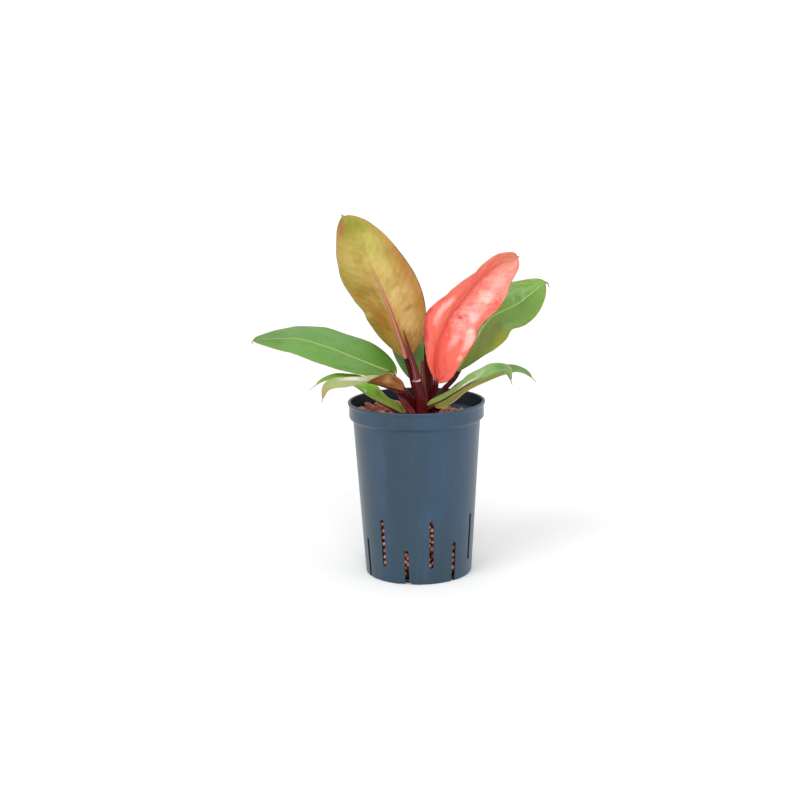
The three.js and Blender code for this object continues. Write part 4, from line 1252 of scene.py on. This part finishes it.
def slot_pebbles(pot, draw):
    """Centres and radii of the pebbles that show in the slots: two uneven columns behind each."""
    centres, sizes = [], []
    for column in range(2 * pot.slot_count):
        slot, second = divmod(column, 2)
        bottom, top = slot_ends(slot)
        start = max(bottom + COLUMN_START, COLUMN_BOTTOM) + COLUMN_LIFT * second
        heights = np.arange(start, top + COLUMN_PAST, COLUMN_STEP)
        heights = heights + draw.uniform(-COLUMN_TOSS, COLUMN_TOSS, len(heights))
        radii = draw.uniform(*COLUMN_RADII, len(heights))
        turn = slot_angle(pot, slot) - math.pi / 2 + COLUMN_APART * (second - 0.5)
        turn = turn + draw.uniform(-COLUMN_TURN_TOSS, COLUMN_TURN_TOSS, len(heights))
        out = wall_radius(pot, heights) - pot.wall / MM - radii - SLOT_WALL_ROOM
        centres.append(np.stack([out * np.cos(turn), out * np.sin(turn), heights], axis=-1))
        sizes.append(radii)
    return np.vstack(centres), np.concatenate(sizes)


def filling_core(settings, pot):
    """The core that the pebbles stand on, dark as painted shade: a tapering drum whose top falls with the
    filling.
    """
    top = settings.level / MM - CORE_TOP_ROOM
    low, high = wall_radius(pot, np.array([CORE_BOTTOM + 2, top])) - pot.wall / MM - CORE_WALL_ROOM
    core = lathe_rings([(0.01, CORE_BOTTOM), (low, CORE_BOTTOM), (high, top), (0.01, top)], 48)
    core[2:, :, 2] += settings.slope * core[2:, :, 0]
    return closed_body(core)


class PHILODENDRON_OT_pebbles(bpy.types.Operator):
    """Fills the pot with clay pebbles"""
    bl_idname = "philodendron.pebbles"
    bl_label = "Clay pebbles"

    def execute(self, context):
        settings = context.scene.philodendron_pebbles
        pot = context.scene.philodendron_pot
        draw = np.random.default_rng(settings.seed)
        top, top_radii = top_pebbles(settings, pot, draw)
        behind, behind_radii = slot_pebbles(pot, draw)
        radii = np.concatenate([top_radii, behind_radii])
        pebbles, rise = pebble_bodies(np.vstack([top, behind]), radii, settings.seed)
        core_points, core_faces = filling_core(settings, pot)
        points, faces = joined([(core_points, core_faces), *pebbles])
        which = (np.arange(len(faces)) < len(core_faces)).astype(int)
        rise = np.concatenate([np.zeros(len(core_points)), rise])
        # Each pebble's own height, by which the clay paints shade on its lower part.
        maps = {"rise": np.stack([rise, rise], axis=-1)}
        # The core's dark colour is painted shade deep between the pebbles.
        depth = plain_material("clay_depth", rgb(46, 22, 18), 0.95, 0.05)
        materials = [clay_material(settings), depth]
        piece = add_object("clay_filling", points, faces, materials, which, maps)
        stand_for(piece, "clay_pebbles")
        return {"FINISHED"}


def petiole_path(leaf):
    """A petiole's points from the stem past its bend to the underside of the blade's base."""
    (centre,), (ahead,), (up,), _ = rib_frame(leaf, np.zeros(1))
    end = centre - up * leaf["petiole"]
    return [leaf["root"], leaf["bend"], end - PETIOLE_STRAIGHT * ahead, end]


def stem_rings(settings):
    """The short stem: a turned shape with low ridges, of radius r (1 + ridge sin(ridges a))."""
    wide, low, high = (v / MM for v in (settings.stem_radius, settings.stem_bottom, settings.stem_top))
    profile = rounded([
        (0.01, low, 0), (wide * 0.8, low, 2), (wide, low + 8, 2), (wide, high - 20, 8),
        (wide * 0.75, high - 6, 6), (wide * 0.3, high, 2), (0.01, high + 1, 0),
    ])
    sides = 60
    rings = lathe_rings(profile, sides)
    angle = np.linspace(0, 2 * np.pi, sides, endpoint=False)
    rings[..., :2] *= 1 + STEM_RIDGE * np.sin(STEM_RIDGES * angle)[None, :, None]
    return rings + np.array([*STEM_CENTRE, 0])


class PHILODENDRON_OT_stem(bpy.types.Operator):
    """Makes the short stem and the petioles that grow out of it"""
    bl_idname = "philodendron.stem"
    bl_label = "Stem and petioles"

    def execute(self, context):
        settings = context.scene.philodendron_stem
        rods = []
        for leaf in LEAVES.values():
            thin = leaf["petiole"]
            radii = (settings.root_radius / MM, *(thin + taper for taper in PETIOLE_TAPER), thin)
            rods.append(rod_rings(petiole_path(leaf), radii, rows=48, sides=24, groove=0.22))
        rods += [rod_rings(bud["path"], bud["radii"], rows=24, sides=20) for bud in BUDS]
        rods.append(stem_rings(settings))
        maps = joined_maps([rod_maps(rings) for rings in rods])
        dark, light = tuple(settings.colour), tuple(settings.light_colour)
        skin = stem_material("petiole_skin", dark, light, 0.32, shine=0.12, speckle=0.3)
        points, faces = joined([closed_body(rings) for rings in rods])
        piece = add_object("petioles", points, faces, [skin], uv=maps)
        outward(piece)
        stand_for(piece, "stem_and_petioles")
        return {"FINISHED"}


def spear_rings():
    """The rolled leaf: a rod whose section is one turn of a spiral, with its step winding upwards."""
    rows, sides = 90, 48
    rings = rod_rings(SPEAR["path"], SPEAR["radii"], rows, sides)
    centre = rings.mean(axis=1, keepdims=True)
    turn = np.linspace(0, 1, sides, endpoint=False)[None]
    rise = np.linspace(0, 1, rows)[:, None]
    step = ((turn + SPEAR_TURNS * rise) % 1.0)[..., None]
    return centre + (rings - centre) * (1 - SPEAR_STEP + SPEAR_STEP * step)


class PHILODENDRON_OT_spear(bpy.types.Operator):
    """Makes the rolled new leaf"""
    bl_idname = "philodendron.spear"
    bl_label = "New leaf"

    def execute(self, context):
        settings = context.scene.philodendron_stem
        rings = spear_rings()
        dark, light = tuple(settings.spear_colour), tuple(settings.light_colour)
        skin = stem_material("spear_skin", dark, light, 0.3, shine=0.15)
        piece = add_object("rolled_leaf", *closed_body(rings), [skin], uv=rod_maps(rings))
        outward(piece)
        stand_for(piece, "new_leaf_spear")
        return {"FINISHED"}


def sheath_rings(path, radii, depth):
    """A dry sheath: a ridged tube, open at its top, whose inside goes down by a share of its length."""
    rows, sides = 60, 40
    outer = rod_rings(path, radii, rows, sides)
    centre = outer.mean(axis=1, keepdims=True)
    angle = np.linspace(0, 2 * np.pi, sides, endpoint=False)
    outer = centre + (outer - centre) * (1 + 0.05 * np.sin(SHEATH_RIDGES * angle))[None, :, None]
    inner = centre + (outer - centre) * SHEATH_HOLLOW
    floor = int(rows * (1 - depth))
    return np.concatenate([outer, inner[:floor - 1:-1]])


class PHILODENDRON_OT_sheaths(bpy.types.Operator):
    """Makes the dry sheaths round the crown"""
    bl_idname = "philodendron.sheaths"
    bl_label = "Sheaths"

    def execute(self, context):
        settings = context.scene.philodendron_stem
        for node, shape in SHEATHS.items():
            dark, light = (tuple(getattr(settings, name)) for name in shape["colours"])
            # The open sheath's pale rim is partly a painted highlight on its cut edge.
            rim = (shape["path"][-1][2] * PER_MM - 0.02, (240, 190, 184)) if shape["open"] else None
            skin = stem_material(node + "_skin", dark, light, 0.42, rim=rim)
            depth = OPEN_DEPTH if shape["open"] else CLOSED_DEPTH
            rings = sheath_rings(shape["path"], shape["radii"], depth)
            piece = add_object(node + "_dry", *closed_body(rings), [skin], uv=rod_maps(rings))
            outward(piece)
            stand_for(piece, node)
        return {"FINISHED"}


class PHILODENDRON_OT_root_tip(bpy.types.Operator):
    """Makes the thin root that stands out of the filling"""
    bl_idname = "philodendron.root_tip"
    bl_label = "Root tip"

    def execute(self, context):
        settings = context.scene.philodendron_stem
        rings = rod_rings(ROOT_TIP["path"], ROOT_TIP["radii"], rows=24, sides=16)
        rings = rings + 0.15 * ripple(rings, wavelength=4.0, seed=5)[..., None]
        skin = stem_material("root_skin", tuple(settings.root_colour), rgb(190, 140, 132), 0.7)
        piece = add_object("root", *closed_body(rings), [skin], uv=rod_maps(rings))
        outward(piece)
        stand_for(piece, "root_tip")
        return {"FINISHED"}


def blade_faces(leaf, crumple, settings, seed, t, s):
    """Upper and lower face of a blade, its half width and its distance from the margin.

    The blade swells unevenly by crumple millimetres, least along the midrib and at the margin, where
    it flutters instead. Its thickness is T sqrt(1 - |s|^6). The upper face has a groove over the
    midrib and shallow ones over the side veins, which stand out on the lower face.
    """
    upper, up, half = leaf_surface(leaf, t, s)
    normal = surface_normals(upper)
    normal = normal * np.sign((normal * up).sum(-1).mean())
    a = np.abs(s)
    inset = half * (1 - a)
    body = np.clip(inset / 2, 0, 1)
    veins = vein_lines(t, s, settings.vein_count) * settings.vein_height / MM * body
    groove = settings.rib_groove / MM * np.exp(-((s * half / GROOVE_WIDTH) ** 2)) * np.sqrt(1 - t)
    flutter = FLUTTER * ripple(upper, FLUTTER_WAVE, seed) * a**3
    swell = ripple(upper, SWELL_WAVE, seed + 50) + 0.3 * ripple(upper, PUCKER_WAVE, seed + 90)
    swell = crumple * swell * (1 - a**4) * np.sqrt(body)
    clear = 1 - np.exp(-((s * half / STIFF_WIDTH) ** 2))
    upper = upper + normal * (clear * (flutter + swell))[..., None]
    thick = settings.thickness / MM * np.sqrt(np.clip(1 - a**6, 0, 1))
    lower = upper - normal * (thick + 0.6 * veins)[..., None]
    upper = upper - normal * (veins + groove * np.clip(inset, 0, 1))[..., None]
    return upper, lower, half, inset


def blade_body(leaf, crumple, settings, seed):
    """A blade as one closed body: both faces on one grid, which meet in the thin margin.

    The grid is closer at the base, the tip and the midrib. Returns vertices, faces, the face
    materials and the maps across, edge and turn.
    """
    rows, columns = settings.rows, settings.columns
    t = (0.5 - 0.5 * np.cos(np.pi * np.linspace(0, 1, rows + 1)))[:, None]
    even = np.linspace(-1, 1, columns + 1)[None]
    t, s = np.broadcast_arrays(t, np.sign(even) * np.abs(even) ** 1.15)
    upper, lower, half, inset = blade_faces(leaf, crumple, settings, seed, t, s)

    def around(over, beneath):
        """A row's values from margin to margin on the upper face and back on the lower one."""
        return np.concatenate([over, beneath[:, -2:0:-1]], axis=1)

    def pair(first, second):
        """A map of two values, which are the same on both faces."""
        return np.stack([around(first, first).ravel(), around(second, second).ravel()], axis=-1)

    points, faces = closed_body(around(upper, lower))
    ring = 2 * columns
    underside = np.arange(len(faces)) % ring >= columns
    underside[rows * ring:] = False
    maps = {"across": pair((s + 1) / 2, t), "edge": pair(np.abs(s) * half, inset) * PER_MM}
    maps["turn"] = np.zeros((len(points), 2))
    return points, faces, underside.astype(int), maps


def rib_rings(leaf):
    """The midrib beneath a blade: a rod whose upper side sinks into the blade past the base.

    Its radius thins as R (1 - t)^keel, and its ring's upper half is flattened from the base onwards.
    Returns the rings and the maps across, edge and turn, which put it on the leaf's midrib.
    """
    rows, sides = 90, 20
    t = np.linspace(0, RIB_END, rows)
    centre, _, up, side = rib_frame(leaf, t)
    radius = leaf["petiole"] * (1 - t) ** leaf.get("keel", 1.5) + RIB_END_RADIUS
    full = np.clip(1 - t / RIB_ROUND, 0, 1) ** 2
    drop = radius * full + RIB_DEPTH * (1 - full)
    angle = np.linspace(0, 2 * np.pi, sides, endpoint=False)
    above, beneath = full[:, None] * 0.98 + 0.02, 0.25 + 0.75 * (1 - t[:, None])
    upwards = np.sin(angle) * np.where(np.sin(angle) > 0, above, beneath)
    ring = side[:, None] * np.cos(angle)[:, None] + up[:, None] * upwards[..., None]
    rings = (centre - up * drop[:, None])[:, None] + ring * radius[:, None, None]
    across = np.stack([np.full(rows * sides, 0.5), np.repeat(t, sides)], axis=-1)
    edge = np.tile((0.0, 1.0), (rows * sides, 1))
    return rings, {"across": across, "edge": edge, "turn": rod_maps(rings)["turn"]}


class PHILODENDRON_OT_leaves(bpy.types.Operator):
    """Makes the nine leaves"""
    bl_idname = "philodendron.leaves"
    bl_label = "Leaves"

    def execute(self, context):
        settings = context.scene.philodendron_leaf
        for seed, (node, leaf) in enumerate(LEAVES.items()):
            look = LEAF_LOOKS[node]
            points, faces, which, maps = blade_body(leaf, look["crumple"], settings, seed)
            rings, rib_maps = rib_rings(leaf)
            rib_points, rib_faces = closed_body(rings)
            points, faces = joined([(points, faces), (rib_points, rib_faces)])
            which = np.concatenate([which, np.ones(len(rib_faces))])
            materials = [leaf_material(node + "_upper", look["upper"], settings),
                         leaf_material(node + "_under", look["under"], settings)]
            maps = joined_maps([maps, rib_maps])
            piece = add_object(node + "_blade", points, faces, materials, which, maps)
            outward(piece)
            stand_for(piece, node)
        return {"FINISHED"}


def soft_sun(name, azimuth, elevation, spread, strength):
    """A wide even light. Azimuth 0 shines from the front and 90 from the right, in degrees."""
    data = bpy.data.lights.new(name, "SUN")
    data.angle = math.radians(spread)
    data.energy = strength
    light = bpy.data.objects.new(name, data)
    turn, rise = math.radians(azimuth), math.radians(elevation)
    source = Vector((math.sin(turn) * math.cos(rise), -math.cos(turn) * math.cos(rise), math.sin(rise)))
    light.rotation_euler = source.to_track_quat("Z", "Y").to_euler()
    light.location = source * 2
    bpy.context.scene.collection.objects.link(light)


def even_surround(scene, strength):
    """A white world: of full strength where the camera sees it, and of the given one as light."""
    scene.world = scene.world or bpy.data.worlds.new("surround")
    scene.world.use_nodes = True
    tree = scene.world.node_tree
    tree.nodes.clear()
    seen = add_node(tree, "ShaderNodeLightPath").outputs["Is Camera Ray"]
    level = calc(tree, "MULTIPLY_ADD", seen, 1.0 - strength, strength)
    light = add_node(tree, "ShaderNodeBackground", {"Color": (1, 1, 1, 1), "Strength": level})
    add_node(tree, "ShaderNodeOutputWorld", {"Surface": light.outputs[0]})


def photo_camera(scene):
    """The photograph's camera: it looks along +Y, down by its pitch, and is rolled about its view."""
    pitch, roll = math.radians(CAMERA_PITCH), math.radians(CAMERA_ROLL)
    ahead = Vector((0, math.cos(pitch), -math.sin(pitch)))
    level, upright = Vector((1, 0, 0)), Vector((0, math.sin(pitch), math.cos(pitch)))
    right = level * math.cos(roll) + upright * math.sin(roll)
    up = upright * math.cos(roll) - level * math.sin(roll)
    data = bpy.data.cameras.new("camera")
    data.lens = CAMERA_LENS
    data.sensor_width = CAMERA_SENSOR
    data.clip_end = 60
    camera = bpy.data.objects.new("camera", data)
    turn = Matrix((right, up, -ahead)).transposed().to_4x4()
    camera.matrix_world = Matrix.Translation(CAMERA_PLACE) @ turn
    scene.collection.objects.link(camera)
    scene.camera = camera


class PHILODENDRON_OT_stage(bpy.types.Operator):
    """Sets up the floor, the soft light and the photograph's camera"""
    bl_idname = "philodendron.stage"
    bl_label = "Stage"

    def execute(self, context):
        scene = context.scene
        settings = scene.philodendron_stage
        half = settings.floor_size / MM / 2
        corners = np.array([(-half, -half, 0), (half, -half, 0), (half, half, 0), (-half, half, 0)])
        pale = plain_material("floor", tuple(settings.floor_colour), 0.9, 0.1)
        floor = add_object("floor", corners, np.array([[0, 1, 2, 3]]), [pale], smooth=False)
        soft_sun("key_light", azimuth=-38, elevation=48, spread=32, strength=settings.key)
        soft_sun("front_light", azimuth=4, elevation=36, spread=26, strength=settings.front)
        soft_sun("fill_light", azimuth=48, elevation=30, spread=50, strength=settings.fill)
        even_surround(scene, settings.surround)
        photo_camera(scene)
        scene.view_settings.view_transform = "Standard"
        return {"FINISHED"}


class PHILODENDRON_PT_panel(bpy.types.Panel):
    """Lists the pieces of the plant"""
    bl_label = "Philodendron"
    bl_idname = "PHILODENDRON_PT_panel"
    bl_space_type = "VIEW_3D"
    bl_region_type = "UI"
    bl_category = "Philodendron"

    def draw(self, context):
        for operator in OPERATORS:
            self.layout.operator(operator.bl_idname)


OPERATORS = (
    PHILODENDRON_OT_stage, PHILODENDRON_OT_pot, PHILODENDRON_OT_pebbles, PHILODENDRON_OT_stem,
    PHILODENDRON_OT_spear, PHILODENDRON_OT_sheaths, PHILODENDRON_OT_root_tip, PHILODENDRON_OT_leaves,
)
SETTINGS = {
    "philodendron_pot": PotSettings,
    "philodendron_pebbles": PebbleSettings,
    "philodendron_leaf": LeafSettings,
    "philodendron_stem": StemSettings,
    "philodendron_stage": StageSettings,
}


def register():
    """Adds the settings, the operators and the panel to Blender."""
    for group in SETTINGS.values():
        bpy.utils.register_class(group)
    for name, group in SETTINGS.items():
        setattr(bpy.types.Scene, name, bpy.props.PointerProperty(type=group))
    for operator in OPERATORS:
        bpy.utils.register_class(operator)
    bpy.utils.register_class(PHILODENDRON_PT_panel)


def unregister():
    """Takes them out again."""
    bpy.utils.unregister_class(PHILODENDRON_PT_panel)
    for operator in reversed(OPERATORS):
        bpy.utils.unregister_class(operator)
    for name, group in SETTINGS.items():
        delattr(bpy.types.Scene, name)
        bpy.utils.unregister_class(group)


def main():
    """Registers the add-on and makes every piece."""
    register()
    bpy.ops.philodendron.stage()
    bpy.ops.philodendron.pot()
    bpy.ops.philodendron.pebbles()
    bpy.ops.philodendron.stem()
    bpy.ops.philodendron.spear()
    bpy.ops.philodendron.sheaths()
    bpy.ops.philodendron.root_tip()
    bpy.ops.philodendron.leaves()


if __name__ == "__main__":
    main()
